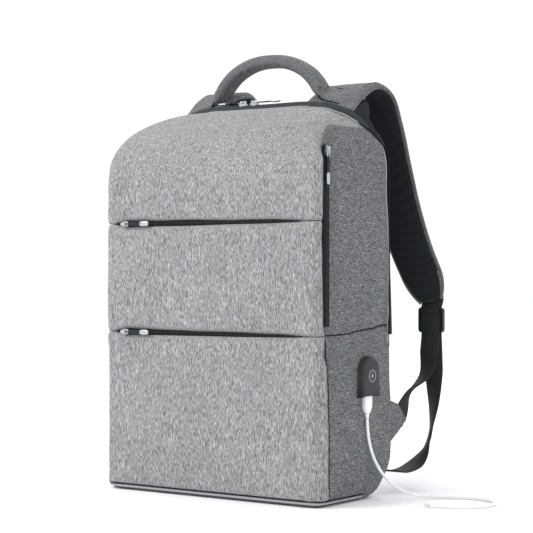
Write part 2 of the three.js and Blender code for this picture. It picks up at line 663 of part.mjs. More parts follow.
// Webbing between the adjuster and the tab, turning from facing back to facing sideways.
function strapWebbing(side) {
  const [x, y, z] = adjusterPlace(side);
  const top = z - ADJUSTER.tall / 2 - WEBBING_START;
  const clear = WEBBING / 2 + GAP;
  const midY = (TAB_POINT[0] + TAB_SHOULDER[0]) / 2 + clear;
  const midZ = (TAB_POINT[1] + TAB_SHOULDER[1]) / 2 + clear;
  const tabX = side * (HALF - TAB_INSET);
  const curve = curveThrough([
    [x, y - 1, top], [x, y - 4, top - 20], [(x + tabX) / 2, y - 14, top - 42],
    [tabX, midY + 18, midZ + 17], [tabX, midY, midZ],
  ]);
  const atTab = new THREE.Vector3(0, TAB_POINT[0] - TAB_SHOULDER[0], TAB_POINT[1] - TAB_SHOULDER[1]);
  atTab.normalize();
  const atTop = X_AXIS.clone();
  return band(curve, {
    widthStart: WEBBING_WIDTH, thickness: WEBBING, steps: WEBBING_STEPS,
    acrossAt: (u) => atTop.clone().lerp(atTab, THREE.MathUtils.smoothstep(u, 0.25, 0.95)),
  });
}

// The webbing's loose end, which hangs from the adjuster and curls in behind the bag.
function webbingTail(side) {
  const [x, y, z] = adjusterPlace(side);
  const top = z - ADJUSTER.tall / 2 - WEBBING_START;
  const curve = curveThrough([
    [x, y + 2.5, top], [x + side, y + 4, top * 0.7], [x + side, y + 2, top * 0.47],
    [x, y - 8, top * 0.29], [x - 3 * side, y - 31, 29], [x - 6 * side, y - 62, 22],
    [x - 8 * side, y - 86, 25],
  ]);
  return band(curve, {
    widthStart: WEBBING_WIDTH, thickness: WEBBING, steps: WEBBING_STEPS, acrossAt: () => X_AXIS,
  });
}

// ---------------------------------------------------------------- charging socket, plug and lead

function hoodOutline(inset) {
  const shape = new THREE.Shape();
  const half = HOOD_WIDTH / 2 - inset;
  const arch = HOOD_BOTTOM_Z + HOOD_HEIGHT - HOOD_WIDTH / 2;
  shape.moveTo(HOOD_Y - half, HOOD_BOTTOM_Z);
  shape.lineTo(HOOD_Y + half, HOOD_BOTTOM_Z);
  shape.absarc(HOOD_Y, arch, half, 0, Math.PI);
  return shape;
}

function hoodCavity() {
  const half = HOOD_WIDTH / 2 - HOOD_CAVITY_EDGE;
  const room = (PLUG_GRIP.thick / 2) + 3 * GAP;
  return block(PLUG_X - room, PLUG_X + room, HOOD_Y - half, HOOD_Y + half, HOOD_BOTTOM_Z - OVERSHOOT,
    HOOD_BOTTOM_Z + HOOD_HEIGHT - HOOD_ROOF);
}

function portHood() {
  const base = HALF + GAP;
  const neckLength = WALL + 2 * GAP + BACKING.thick + 2;
  const neckX = base + 1 - neckLength / 2;
  return prismAlongX(hoodOutline(0), base, base + HOOD_STAND - HOOD_BEVEL)
    .add(prismAlongX(hoodOutline(HOOD_BEVEL), base, base + HOOD_STAND))
    .subtract(hoodCavity())
    .add(rod(new THREE.Vector3(neckX, HOOD_Y, NECK_Z), X_AXIS, HOOD_NECK_RADIUS, neckLength));
}

function backingPlate() {
  const x1 = HALF - WALL - GAP;
  const half = BACKING.size / 2;
  return block(x1 - BACKING.thick, x1, HOOD_Y - half, HOOD_Y + half, NECK_Z - half, NECK_Z + half)
    .subtract(neckHole);
}

function centredBlock(wide, thick, z0, z1) {
  return block(PLUG_X - thick / 2, PLUG_X + thick / 2, HOOD_Y - wide / 2, HOOD_Y + wide / 2, z0, z1);
}

function socketShell() {
  const inner = centredBlock(SOCKET.wide - 2 * SOCKET.skin, SOCKET.thick - 2 * SOCKET.skin,
    SOCKET_MOUTH_Z - 1, SOCKET_TOP_Z - SOCKET.skin);
  return centredBlock(SOCKET.wide, SOCKET.thick, SOCKET_MOUTH_Z, SOCKET_TOP_Z).subtract(inner);
}

function socketTongue() {
  const wide = SOCKET.wide - 2 * (SOCKET.skin + SOCKET.tongue_inset);
  return centredBlock(wide, SOCKET.tongue, SOCKET_MOUTH_Z + 2, SOCKET_TOP_Z - SOCKET.skin - GAP);
}

function plugGrip() {
  const top = SOCKET_MOUTH_Z - GAP;
  const low = top - PLUG_GRIP.length;
  const grip = prismAlongZ(
    roundedRectangle(PLUG_X - PLUG_GRIP.thick / 2, PLUG_X + PLUG_GRIP.thick / 2,
      HOOD_Y - PLUG_GRIP.wide / 2, HOOD_Y + PLUG_GRIP.wide / 2, PLUG_GRIP.corner), low, top);
  const neckRadius = LEAD_DIAMETER / 2 + PLUG_GRIP.neck_wall;
  const neck = rod(new THREE.Vector3(PLUG_X, HOOD_Y, low - PLUG_GRIP.neck / 2 + 1), Z_AXIS, neckRadius,
    PLUG_GRIP.neck + 2, 12);
  return grip.add(neck);
}

function plugShell() {
  const z0 = SOCKET_MOUTH_Z + SHELL_SEAT;
  const z1 = SOCKET_MOUTH_Z + PLUG_SHELL.insertion;
  const cavity = centredBlock(PLUG_SHELL.wide - 2 * PLUG_SHELL.skin, PLUG_SHELL.thick - 2 * PLUG_SHELL.skin,
    z0 + 1, z1 + 1);
  return centredBlock(PLUG_SHELL.wide, PLUG_SHELL.thick, z0, z1).subtract(cavity);
}

function leadCable() {
  return tube(curveThrough(LEAD_ROUTE), LEAD_DIAMETER, 8, LEAD_STEPS);
}

// The far connector, lying on the floor in line with the lead's last stretch.
function leadConnector() {
  const body = prismAlongX(
    roundedRectangle(-CONNECTOR.wide / 2, CONNECTOR.wide / 2, 0, CONNECTOR.tall, 1.6), 0, CONNECTOR.long);
  const tipLow = (CONNECTOR.tall - CONNECTOR.tip_tall) / 2;
  const tip = block(CONNECTOR.long - 1, CONNECTOR.long + CONNECTOR.tip_long, -CONNECTOR.tip_wide / 2,
    CONNECTOR.tip_wide / 2, tipLow, tipLow + CONNECTOR.tip_tall);
  return body.add(tip);
}

// ---------------------------------------------------------------- materials

const FINISH = {
  melange: { color: 0xa9aaac, roughness: 0.95, metalness: 0 },
  melangeDark: { color: 0x77797c, roughness: 0.95, metalness: 0 },
  lining: { color: 0x3c4046, roughness: 0.9, metalness: 0 },
  mesh: { color: 0x26282b, roughness: 0.95, metalness: 0 },
  webbing: { color: 0x2b2c2f, roughness: 0.8, metalness: 0 },
  zip: { color: 0x1d1e20, roughness: 0.6, metalness: 0 },
  board: { color: 0x54565a, roughness: 0.7, metalness: 0 },
  rubber: { color: 0x2e3033, roughness: 0.6, metalness: 0 },
  plastic: { color: 0x202124, roughness: 0.45, metalness: 0 },
  silver: { color: 0xc9cbce, roughness: 0.25, metalness: 1 },
  steel: { color: 0xb4b8bd, roughness: 0.3, metalness: 1 },
  white: { color: 0xf2f2f2, roughness: 0.35, metalness: 0 },
};

const bag = new THREE.Group();

function piece(name, body, finish, parent = bag) {
  const mesh = new THREE.Mesh(geometryOf(body), new THREE.MeshStandardMaterial(FINISH[finish]));
  mesh.name = name;
  parent.add(mesh);
  return mesh;
}

// ---------------------------------------------------------------- assembly

function addShell() {
  const seam = HALF_GAP;
  piece('front_panel_lower', frontPanel(RIM + GAP, LOWER_ZIP_Z - SLIT / 2), 'melange');
  piece('front_panel_middle', frontPanel(LOWER_ZIP_Z + SLIT / 2, UPPER_ZIP_Z - SLIT / 2), 'melange');
  piece('front_panel_upper', frontPanelUpper(), 'melange');
  for (const [name, side] of [['left', -1], ['right', 1]]) {
    piece(`side_panel_${name}`, sidePanel(side, LOWER_ZIP_Z + seam, SIDE_TOP_Z - seam), 'melangeDark');
    piece(`side_panel_lower_${name}`, sidePanel(side, RIM + GAP, LOWER_ZIP_Z - seam), 'melangeDark');
  }
  piece('base_panel', basePanel(), 'melangeDark');
  piece('back_panel', backPanel(), 'mesh');
  piece('zip_gusset', shell.intersect(gussetPrism), 'lining');
}

function addZips() {
  piece('lower_pocket_zip', pocketZip(LOWER_ZIP_Z), 'zip');
  piece('upper_pocket_zip', pocketZip(UPPER_ZIP_Z), 'zip');
  piece('side_pocket_zip', sideZip(), 'zip');
  piece('main_zip', mainZip(), 'zip');
}

// One slider and its pull. basis turns local X, Y, Z into the chain, across and outward directions.
function addSlider(name, seat, along, outward) {
  const across = outward.clone().cross(along);
  const group = new THREE.Group();
  group.quaternion.setFromRotationMatrix(new THREE.Matrix4().makeBasis(along, across, outward));
  group.position.copy(seat);
  bag.add(group);
  piece(`${name}_slider`, slider(), 'silver', group);
  const pulled = piece(`${name}_pull`, pull(), 'silver', group);
  pulled.position.z = PIN_HEIGHT;
}

function addSliders() {
  const toFront = Y_AXIS.clone().negate();
  const down = Z_AXIS.clone().negate();
  const left = X_AXIS.clone().negate();
  const frontSeat = FRONT_Y + CHAIN_RECESS - GAP;
  const pocketX = -HALF + FRONT_SLIDER_INSET;
  addSlider('lower_pocket', new THREE.Vector3(pocketX, frontSeat, LOWER_ZIP_Z), X_AXIS, toFront);
  addSlider('upper_pocket', new THREE.Vector3(pocketX, frontSeat, UPPER_ZIP_Z), X_AXIS, toFront);
  const sideSeat = new THREE.Vector3(
    HALF - CHAIN_RECESS + GAP, SIDE_SEAM_Y, SIDE_ZIP_TOP_Z - SLIDER_LENGTH / 2 - 3);
  addSlider('side_pocket', sideSeat, down, X_AXIS);
  const chainY = GUSSET_FRONT_Y + GUSSET_WIDTH / 2;
  const topSeat = HEIGHT + CHAIN_PROUD + GAP;
  addSlider('main_left', new THREE.Vector3(MAIN_SLIDER_X[0], chainY, topSeat), left, Z_AXIS);
  addSlider('main_right', new THREE.Vector3(MAIN_SLIDER_X[1], chainY, topSeat), X_AXIS, Z_AXIS);
}

function addInside() {
  const tapeEdge = TAPE_WIDTH / 2 + 2;
  piece('lower_pocket_pouch', frontPouch(BASE_CORNER + WALL, LOWER_ZIP_Z - tapeEdge), 'lining');
  piece('upper_pocket_pouch', frontPouch(LOWER_ZIP_Z + tapeEdge, UPPER_ZIP_Z - tapeEdge), 'lining');
  const wallX = HALF - WALL - 2 * GAP - BACKING.thick - 1;
  piece('side_pocket_pouch', pouch(wallX - SIDE_POUCH.deep, wallX, SIDE_POUCH.from, SIDE_POUCH.to,
    SIDE_ZIP_LOW_Z + 5, SIDE_ZIP_LOW_Z + 5 + SIDE_POUCH.height, 'front'), 'lining');
  piece('power_bank_pocket', pouch(HALF - WALL - 2 * GAP - BANK_POUCH.wide, HALF - WALL - 2 * GAP,
    BANK_POUCH.from, BANK_POUCH.to, BASE_CORNER + WALL, BASE_CORNER + WALL + BANK_POUCH.height, 'top'), 'lining');
  const floor = WALL + GAP;
  const heelY = BACK_Y - HEEL_RUN;
  piece('base_board', block(-HALF, HALF, FRONT_Y, heelY, floor, floor + BOARD).intersect(lining), 'board');
  const above = floor + BOARD + GAP;
  piece('organiser_panel', block(-HALF + FRONT_POUCH_INSET, HALF - FRONT_POUCH_INSET, ORGANISER.y,
    ORGANISER.y + ORGANISER.thick, above, above + ORGANISER.height).intersect(lining), 'lining');
  piece('laptop_divider', block(-HALF, HALF, DIVIDER.y, DIVIDER.y + DIVIDER.thick, HEEL_RISE / 2,
    HEEL_RISE / 2 + DIVIDER.height).intersect(lining), 'lining');
  const sheetBack = BACK_Y - WALL - GAP;
  piece('frame_sheet', block(-HALF, HALF, sheetBack - FRAME_SHEET, sheetBack, BASE_PANEL_TOP,
    HEIGHT - BACK_CORNER - WALL).intersect(lining), 'board');
}

function addBackPads() {
  const top = HEIGHT - BACK_PAD.top_drop;
  piece('back_pad_left', backPad(-BACK_PAD.to, -BACK_PAD.from, BACK_PAD.low, top), 'mesh');
  piece('back_pad_right', backPad(BACK_PAD.from, BACK_PAD.to, BACK_PAD.low, top), 'mesh');
  piece('lumbar_pad', backPad(-LUMBAR_PAD.half, LUMBAR_PAD.half, LUMBAR_PAD.low, LUMBAR_PAD.high), 'mesh');
}

function addHarness() {
  piece('carry_handle', carryHandle(), 'melangeDark');
  for (const [name, side] of [['left', -1], ['right', 1]]) {
    piece(`strap_yoke_${name}`, layer(GAP, YOKE.thick, side, YOKE.from, YOKE.to, YOKE.front, YOKE.back),
      'melangeDark');
    piece(`handle_patch_${name}`, layer(YOKE.thick + GAP, YOKE.thick + PATCH.thick, side, PATCH.from,
      PATCH.to, PATCH.front, PATCH.back), 'melangeDark');
    piece(`shoulder_strap_${name}`, shoulderStrap(side), 'melangeDark');
    piece(`strap_adjuster_${name}`, adjuster(side), 'plastic');
    piece(`webbing_tail_${name}`, webbingTail(side), 'webbing');
    piece(`strap_webbing_${name}`, strapWebbing(side), 'webbing');
    piece(`anchor_tab_${name}`, anchorTab(side), 'melangeDark');
  }
}

function addCharging() {
  piece('usb_port_hood', portHood(), 'rubber');
  piece('port_backing_plate', backingPlate(), 'plastic');
  piece('usb_socket_shell', socketShell(), 'steel');
  piece('usb_socket_tongue', socketTongue(), 'white');
  piece('usb_extension_lead', extensionLead(), 'plastic');
  piece('charging_plug', plugGrip(), 'white');
  piece('charging_plug_shell', plugShell(), 'steel');
  piece('lead_cable', leadCable(), 'white');
  const connector = piece('lead_connector', leadConnector(), 'white');
  const last = new THREE.Vector3(...LEAD_ROUTE[LEAD_ROUTE.length - 1]);
  const before = new THREE.Vector3(...LEAD_ROUTE[LEAD_ROUTE.length - 2]);
  const heading = last.clone().sub(before).setZ(0).normalize();
  connector.rotation.z = Math.atan2(heading.y, heading.x);
  connector.position.copy(last).addScaledVector(heading, GAP).setZ(0);
}

addShell();
addZips();
addSliders();
addInside();
addBackPads();
addHarness();
addCharging();

export default bag;
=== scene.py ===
"""Looks of the charging backpack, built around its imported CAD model. Metres, +Z up, front at -Y."""

import json
import math

import bmesh
import bpy
import numpy as np
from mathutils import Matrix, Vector, noise
from mathutils.bvhtree import BVHTree


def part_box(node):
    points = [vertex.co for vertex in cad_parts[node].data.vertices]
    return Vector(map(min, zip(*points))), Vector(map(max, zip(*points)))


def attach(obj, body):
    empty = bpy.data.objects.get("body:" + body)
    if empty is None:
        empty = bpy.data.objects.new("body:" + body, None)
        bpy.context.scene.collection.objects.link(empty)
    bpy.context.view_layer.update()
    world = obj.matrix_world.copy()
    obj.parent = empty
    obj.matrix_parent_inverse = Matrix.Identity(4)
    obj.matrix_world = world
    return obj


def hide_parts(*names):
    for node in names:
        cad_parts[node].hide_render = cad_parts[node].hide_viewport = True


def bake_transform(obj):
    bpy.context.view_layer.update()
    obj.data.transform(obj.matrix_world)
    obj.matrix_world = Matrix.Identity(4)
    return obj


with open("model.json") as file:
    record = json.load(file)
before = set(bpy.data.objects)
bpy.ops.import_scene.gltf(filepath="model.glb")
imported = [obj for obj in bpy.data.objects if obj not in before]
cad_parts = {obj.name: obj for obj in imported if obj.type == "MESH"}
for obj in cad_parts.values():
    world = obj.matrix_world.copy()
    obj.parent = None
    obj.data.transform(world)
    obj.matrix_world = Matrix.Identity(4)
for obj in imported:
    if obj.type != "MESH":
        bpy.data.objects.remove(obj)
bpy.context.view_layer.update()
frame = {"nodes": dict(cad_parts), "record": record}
MM = 0.001


# ---------------------------------------------------------------- places read from the frame

def low(node):
    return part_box(node)[0]


def high(node):
    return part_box(node)[1]


def middle(node):
    return (low(node) + high(node)) / 2


HALF = high("front_panel_lower").x
FRONT = low("front_panel_lower").y
BACK = high("back_panel").y
TOP = high("front_panel_upper").z
LOWER_ZIP = middle("lower_pocket_zip").z
UPPER_ZIP = middle("upper_pocket_zip").z
SEAM_Y = (high("front_panel_lower").y + low("side_panel_lower_right").y) / 2
SIDE_TOP = high("side_panel_right").z
BASE_TOP = high("base_panel").z
GUSSET_END = low("zip_gusset").z
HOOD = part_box("usb_port_hood")

# The body's form, as in the CAD model
CROWN_HALF = 52 * MM
SHOULDER_Z = TOP - 75 * MM
BROW_Z = TOP - 100 * MM
CREST_Y = 15 * MM
BACK_CORNER = 20 * MM
HEEL_Z = 62 * MM
HEEL_Y = BACK - 52 * MM
FORM_POWER = 2.15
EDGE_SOFTNESS = 15 * MM
SIDE_X = HALF + 4.5 * MM  # the padded sides stand proud of the CAD panels
TOE = 12 * MM
ARCH_RADIUS = 34 * MM  # the round corner at the top of the side panels
FOOT_Z = 7 * MM
SEAM_CELL = 4.2 * MM
CLOTH = 2.2 * MM

# The camera's place and lens, fitted to the bag's outline
CAMERA_PLACE = (1.176, -1.5755, 0.2644)
CAMERA_TURN = 36.04
LENS = 113.7
LENS_SHIFT = -0.0034

# Where a shoulder strap is sewn on, for the right side
STRAP_X = 93 * MM
STRAP_SEAM_Y = BACK - 3 * MM
STRAP_SEAM_Z = TOP + 12 * MM

TAB_HIGH = Vector((0, BACK + 29 * MM, 102 * MM))
TAB_LOW = Vector((0, BACK + 48 * MM, 82 * MM))
BAND_RISE = 7 * MM  # the zip band over the top stands above the front cloth


# ---------------------------------------------------------------- camera, lights and floor

def add_camera():
    data = bpy.data.cameras.new("camera")
    camera = bpy.data.objects.new("camera", data)
    bpy.context.scene.collection.objects.link(camera)
    data.lens = LENS
    data.sensor_width = 36
    data.clip_end = 30
    camera.location = CAMERA_PLACE
    data.shift_y = LENS_SHIFT
    camera.rotation_euler = (math.radians(90), 0, math.radians(CAMERA_TURN))
    bpy.context.scene.camera = camera


def area_light(name, place, target, size, power, colour=(1, 1, 1)):
    data = bpy.data.lights.new(name, "AREA")
    data.shape = "RECTANGLE"
    data.size, data.size_y = size
    data.energy = power
    data.color = colour
    lamp = bpy.data.objects.new(name, data)
    bpy.context.scene.collection.objects.link(lamp)
    lamp.location = place
    lamp.rotation_euler = (Vector(target) - Vector(place)).to_track_quat("-Z", "Y").to_euler()


def add_studio():
    world = bpy.data.worlds.new("studio")
    bpy.context.scene.world = world
    world.use_nodes = True
    background = world.node_tree.nodes["Background"]
    background.inputs["Color"].default_value = (1, 1, 1, 1)
    background.inputs["Strength"].default_value = 1.08
    bpy.context.scene.view_settings.view_transform = "Standard"
    area_light("key", (-1.3, -1.9, 1.9), (0, 0, 0.25), (1.2, 1.2), 38)
    area_light("fill", (2.2, -0.6, 0.9), (0, 0, 0.25), (1.0, 1.4), 6)
    area_light("rim", (-0.6, 1.8, 1.6), (0, 0, 0.3), (1.0, 1.0), 14)

    mesh = bpy.data.meshes.new("floor")
    reach = 12
    mesh.from_pydata([(-reach, -reach, 0), (reach, -reach, 0), (reach, reach, 0), (-reach, reach, 0)],
                     [], [(0, 1, 2, 3)])
    floor = bpy.data.objects.new("floor", mesh)
    bpy.context.scene.collection.objects.link(floor)
    shader = Shader("floor", (0.93, 0.93, 0.945), 0.9)
    floor.data.materials.append(shader.material)


# ---------------------------------------------------------------- materials

class Shader:
    """A Principled material and short ways to add the nodes that feed it."""

    def __init__(self, name, colour, roughness, metallic=0.0):
        self.material = bpy.data.materials.new(name)
        self.material.use_nodes = True
        self.tree = self.material.node_tree
        self.surface = self.tree.nodes["Principled BSDF"]
        self.set("Base Color", (*colour, 1))
        self.set("Roughness", roughness)
        self.set("Metallic", metallic)

    def set(self, socket, value):
        self.surface.inputs[socket].default_value = value

    def node(self, kind, values=None, **settings):
        made = self.tree.nodes.new(kind)
        for key, value in settings.items():
            setattr(made, key, value)
        for key, value in (values or {}).items():
            if isinstance(value, bpy.types.NodeSocket):
                self.tree.links.new(value, made.inputs[key])
            else:
                made.inputs[key].default_value = value
        return made

    def link(self, output, socket):
        self.tree.links.new(output, self.surface.inputs[socket])

    def place(self, scale):
        """Object coordinates times scale, so that a cell of the texture after it is 1 / scale metres."""
        coordinates = self.node("ShaderNodeTexCoord")
        mapping = self.node("ShaderNodeMapping", {"Vector": coordinates.outputs["Object"], "Scale": scale})
        return mapping.outputs["Vector"]

    def noise(self, scale, detail=2.0, rough=0.5):
        made = self.node("ShaderNodeTexNoise", {"Vector": self.place(scale), "Scale": 1.0, "Detail": detail,
                                                "Roughness": rough})
        return made.outputs["Fac"]

    def ramp(self, value, stops):
        made = self.node("ShaderNodeValToRGB", {"Fac": value})
        elements = made.color_ramp.elements
        while len(elements) < len(stops):
            elements.new(0.5)
        for element, (position, colour) in zip(elements, stops):
            element.position = position
            element.color = (*colour, 1) if len(colour) == 3 else (colour[0],) * 3 + (1,)
        return made.outputs["Color"]

    def remap(self, value, start, end):
        """value from the span start to the span end."""
        values = {"Value": value, "From Min": start[0], "From Max": start[1], "To Min": end[0], "To Max": end[1]}
        return self.node("ShaderNodeMapRange", values).outputs["Result"]

    def math(self, operation, a, b):
        return self.node("ShaderNodeMath", {0: a, 1: b}, operation=operation).outputs[0]

    def mix(self, factor, a, b, blend="MIX"):
        made = self.node("ShaderNodeMix", data_type="RGBA", blend_type=blend)
        for socket, value in ((0, factor), (6, a), (7, b)):
            if isinstance(value, bpy.types.NodeSocket):
                self.tree.links.new(value, made.inputs[socket])
            else:
                made.inputs[socket].default_value = value if socket == 0 else (*value, 1)
        return made.outputs[2]

    def bump(self, height, distance, strength=1.0):
        made = self.node("ShaderNodeBump", {"Height": height, "Distance": distance, "Strength": strength})
        self.link(made.outputs["Normal"], "Normal")


def facing_up(shader):
    """0 on upright faces, 1 on level ones."""
    normal = shader.node("ShaderNodeTexCoord").outputs["Normal"]
    z = shader.node("ShaderNodeSeparateXYZ", {"Vector": normal}).outputs["Z"]
    steep = shader.math("ABSOLUTE", z, 0.0)
    return shader.remap(steep, (0.64, 0.70), (0.0, 1.0))


STREAK = (1 / (4.6 * MM), 1 / (0.7 * MM))
THREAD = 1 / (0.55 * MM)


def streaks(shader, along, share=1.0):
    """Yarn flecks drawn out along one axis, 0 for X, 1 for Y and 2 for Z."""
    scale = [STREAK[1] * share] * 3
    scale[along] = STREAK[0] * share
    return shader.noise(tuple(scale), 3.0, 0.65)


def melange(name, dark, mid, light, upright, level):
    """Melange cloth: light and dark yarn flecks, a fine weave, soft broad variation and a little sheen.
    upright and level are the axes that the flecks run along on upright and on level faces."""
    shader = Shader(name, mid, 0.93)
    if upright == level:
        fleck = streaks(shader, upright)
        broad = streaks(shader, upright, 0.33)
    else:
        turn = facing_up(shader)
        fleck = shader.mix(turn, streaks(shader, upright), streaks(shader, level))
        broad = shader.mix(turn, streaks(shader, upright, 0.33), streaks(shader, level, 0.33))
    colour = shader.ramp(fleck, [(0.39, dark), (0.47, mid), (0.53, mid), (0.62, light)])
    slow = shader.ramp(broad, [(0.34, (0.72,)), (0.5, (1.0,)), (0.66, (1.2,))])
    colour = shader.mix(0.85, colour, slow, "MULTIPLY")
    wide = shader.ramp(shader.noise((14, 14, 9), 3.0), [(0.3, (0.93,)), (0.7, (1.05,))])
    colour = shader.mix(1.0, colour, wide, "MULTIPLY")
    weave = shader.noise((THREAD,) * 3, 1.0)
    colour = shader.mix(0.5, colour, shader.ramp(weave, [(0.3, (0.82,)), (0.7, (1.14,))]), "MULTIPLY")
    shader.link(colour, "Base Color")
    shader.link(shader.remap(weave, (0.0, 1.0), (0.86, 0.98)), "Roughness")
    height = shader.math("ADD", weave, shader.math("MULTIPLY", fleck, 0.7))
    shader.bump(height, 0.25 * MM, 0.55)
    shader.set("Sheen Weight", 0.05)
    shader.set("Sheen Roughness", 0.5)
    return shader.material


def air_mesh(name, colour):
    """Knitted spacer mesh: a close grid of rounded holes, with painted shade in the holes and a painted lit
    colour on the knit between them.
    """
    shader = Shader(name, colour, 0.9)
    cells = shader.node("ShaderNodeTexVoronoi", {"Vector": shader.place((420, 420, 420)), "Scale": 1.0,
                                                 "Randomness": 0.25})
    dot = shader.ramp(cells.outputs["Distance"], [(0.12, (0.0,)), (0.42, (1.0,))])
    # the knit is painted a lit colour and the holes are painted shade
    lit = tuple(min(1, c * 2.2 + 0.004) for c in colour)
    hole_shade = tuple(c * 0.3 for c in colour)
    shader.link(shader.mix(dot, hole_shade, lit), "Base Color")
    shader.bump(dot, 0.7 * MM, 0.8)
    shader.set("Specular IOR Level", 0.2)
    return shader.material


def webbing(name, colour):
    """Ribbed woven tape: fine ridges across it with a twill grain."""
    shader = Shader(name, colour, 0.72)
    values = {"Vector": shader.place((1, 1, 1)), "Scale": 520.0, "Distortion": 1.2}
    ribs = shader.node("ShaderNodeTexWave", values, bands_direction="DIAGONAL")
    grain = shader.noise((1800, 1800, 1800), 2.0)
    lit = tuple(c * 1.9 + 0.004 for c in colour)
    shader.link(shader.mix(ribs.outputs["Fac"], colour, lit), "Base Color")
    shader.bump(shader.math("ADD", ribs.outputs["Fac"], grain), 0.3 * MM, 0.7)
    shader.set("Specular IOR Level", 0.3)
    return shader.material


def woven(name, colour, pitch=0.7 * MM):
    """Plain dark cloth such as lining or zip tape."""
    shader = Shader(name, colour, 0.85)
    threads = shader.noise((1 / pitch, 1 / pitch, 1 / pitch), 1.5)
    lit = tuple(c * 1.7 + 0.002 for c in colour)
    shader.link(shader.mix(threads, colour, lit), "Base Color")
    shader.bump(threads, 0.2 * MM, 0.6)
    shader.set("Specular IOR Level", 0.2)
    return shader.material


def moulded(name, colour, roughness, grain=0.35 * MM, depth=0.06 * MM, coat=0.0):
    """Moulded rubber or plastic with a fine spark-eroded grain and slight handling marks."""
    shader = Shader(name, colour, roughness)
    fine = shader.noise((1 / grain,) * 3, 2.0)
    marks = shader.noise((60, 60, 60), 4.0, 0.6)
    shader.link(shader.remap(marks, (0.3, 0.7), (roughness - 0.06, roughness + 0.08)), "Roughness")
    dull = tuple(c * 0.92 for c in colour)
    bright = tuple(min(1, c * 1.06) for c in colour)
    shader.link(shader.ramp(marks, [(0.3, dull), (0.7, bright)]), "Base Color")
    shader.bump(fine, depth, 0.5)
    shader.set("Coat Weight", coat)
    return shader.material


def metal(name, colour, roughness):
    """Plated metal with faint brushing and tarnish in its roughness."""
    shader = Shader(name, colour, roughness, 1.0)
    brushed = shader.noise((900, 900, 5000), 2.0)
    cloud = shader.noise((150, 150, 150), 3.0)
    shader.link(shader.remap(cloud, (0.3, 0.7), (roughness - 0.07, roughness + 0.12)), "Roughness")
    shader.link(shader.ramp(cloud, [(0.3, tuple(c * 0.86 for c in colour)), (0.7, colour)]), "Base Color")
    shader.bump(brushed, 0.02 * MM, 0.4)
    return shader.material


LOOKS = {
    "melange": melange("melange", (0.085, 0.085, 0.088), (0.25, 0.25, 0.252), (0.47, 0.47, 0.475), 2, 1),
    # melange_dark: darker than the melange, partly the side cloth's own darker grey and partly painted shade of
    # the bag's sides
    "melange_dark": melange("melange_dark", (0.032, 0.0325, 0.034), (0.112, 0.113, 0.116),
                            (0.26, 0.261, 0.266), 1, 1),
    "air_mesh": air_mesh("air_mesh", (0.0075, 0.0078, 0.009)),
    "webbing": webbing("webbing", (0.011, 0.0115, 0.013)),
    "lining": woven("lining", (0.032, 0.033, 0.036)),
    "zip": woven("zip", (0.007, 0.0072, 0.008), 0.5 * MM),
    "board": moulded("board", (0.09, 0.09, 0.10), 0.6),
    "rubber": moulded("rubber", (0.0095, 0.0098, 0.011), 0.5, 0.5 * MM, 0.1 * MM),
    "plastic": moulded("plastic", (0.010, 0.010, 0.011), 0.42),
    "silver": metal("silver", (0.52, 0.53, 0.54), 0.28),
    "steel": metal("steel", (0.62, 0.63, 0.65), 0.3),
    "white": moulded("white", (0.82, 0.82, 0.825), 0.34, 0.3 * MM, 0.02 * MM, 0.3),
}
THREAD_GREY = woven("thread_grey", (0.10, 0.101, 0.105), 0.4 * MM)
THREAD_PALE = woven("thread_pale", (0.26, 0.26, 0.265), 0.4 * MM)
# dark thread, also used as the colour of the painted shade tubes in the side seams
DARK_THREAD_AND_SEAM_SHADE = woven("dark_thread_and_seam_shade", (0.008, 0.008, 0.009), 0.4 * MM)
MARK_PAINT = moulded("mark_paint", (0.36, 0.37, 0.38), 0.5, 0.2 * MM, 0.01 * MM)


# ---------------------------------------------------------------- mesh helpers

def add_mesh(name, points, faces, slot, material=None, smooth=True):
    mesh = bpy.data.meshes.new(name)
    mesh.from_pydata([tuple(p) for p in points], [], [tuple(f) for f in faces])
    mesh.polygons.foreach_set("use_smooth", [smooth] * len(mesh.polygons))
    mesh.update()
    made = bpy.data.objects.new(name, mesh)
    bpy.context.scene.collection.objects.link(made)
    mesh.materials.append(material or LOOKS[slot])
    return made


def coordinates(thing):
    flat = np.zeros(len(thing.data.vertices) * 3)
    thing.data.vertices.foreach_get("co", flat)
    return flat.reshape(-1, 3)


def set_coordinates(thing, points):
    thing.data.vertices.foreach_set("co", np.asarray(points, np.float32).ravel())
    thing.data.update()


def bevelled(thing, width, segments=3, angle=35):
    modifier = thing.modifiers.new("edges", "BEVEL")
    modifier.width = width
    modifier.segments = segments
    modifier.angle_limit = math.radians(angle)
    return thing


def subdivided(thing, levels=1):
    modifier = thing.modifiers.new("surface", "SUBSURF")
    modifier.levels = modifier.render_levels = levels
    return thing


def solidified(thing, thickness, offset):
    modifier = thing.modifiers.new("cloth", "SOLIDIFY")
    modifier.thickness = thickness
    modifier.offset = offset
    return thing


def ride_all(body, *parts):
    for part in parts:
        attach(part, body)


def smoothstep(t):
    return t * t * (3 - 2 * t)


def quads(rings, count, closed=True):
    """Faces between neighbouring rings, or open rows, of count points."""
    faces = []
    for i in range(rings - 1):
        for k in range(count if closed else count - 1):
            a, b = i * count + k, i * count + (k + 1) % count
            faces.append((a, b, b + count, a + count))
    return faces


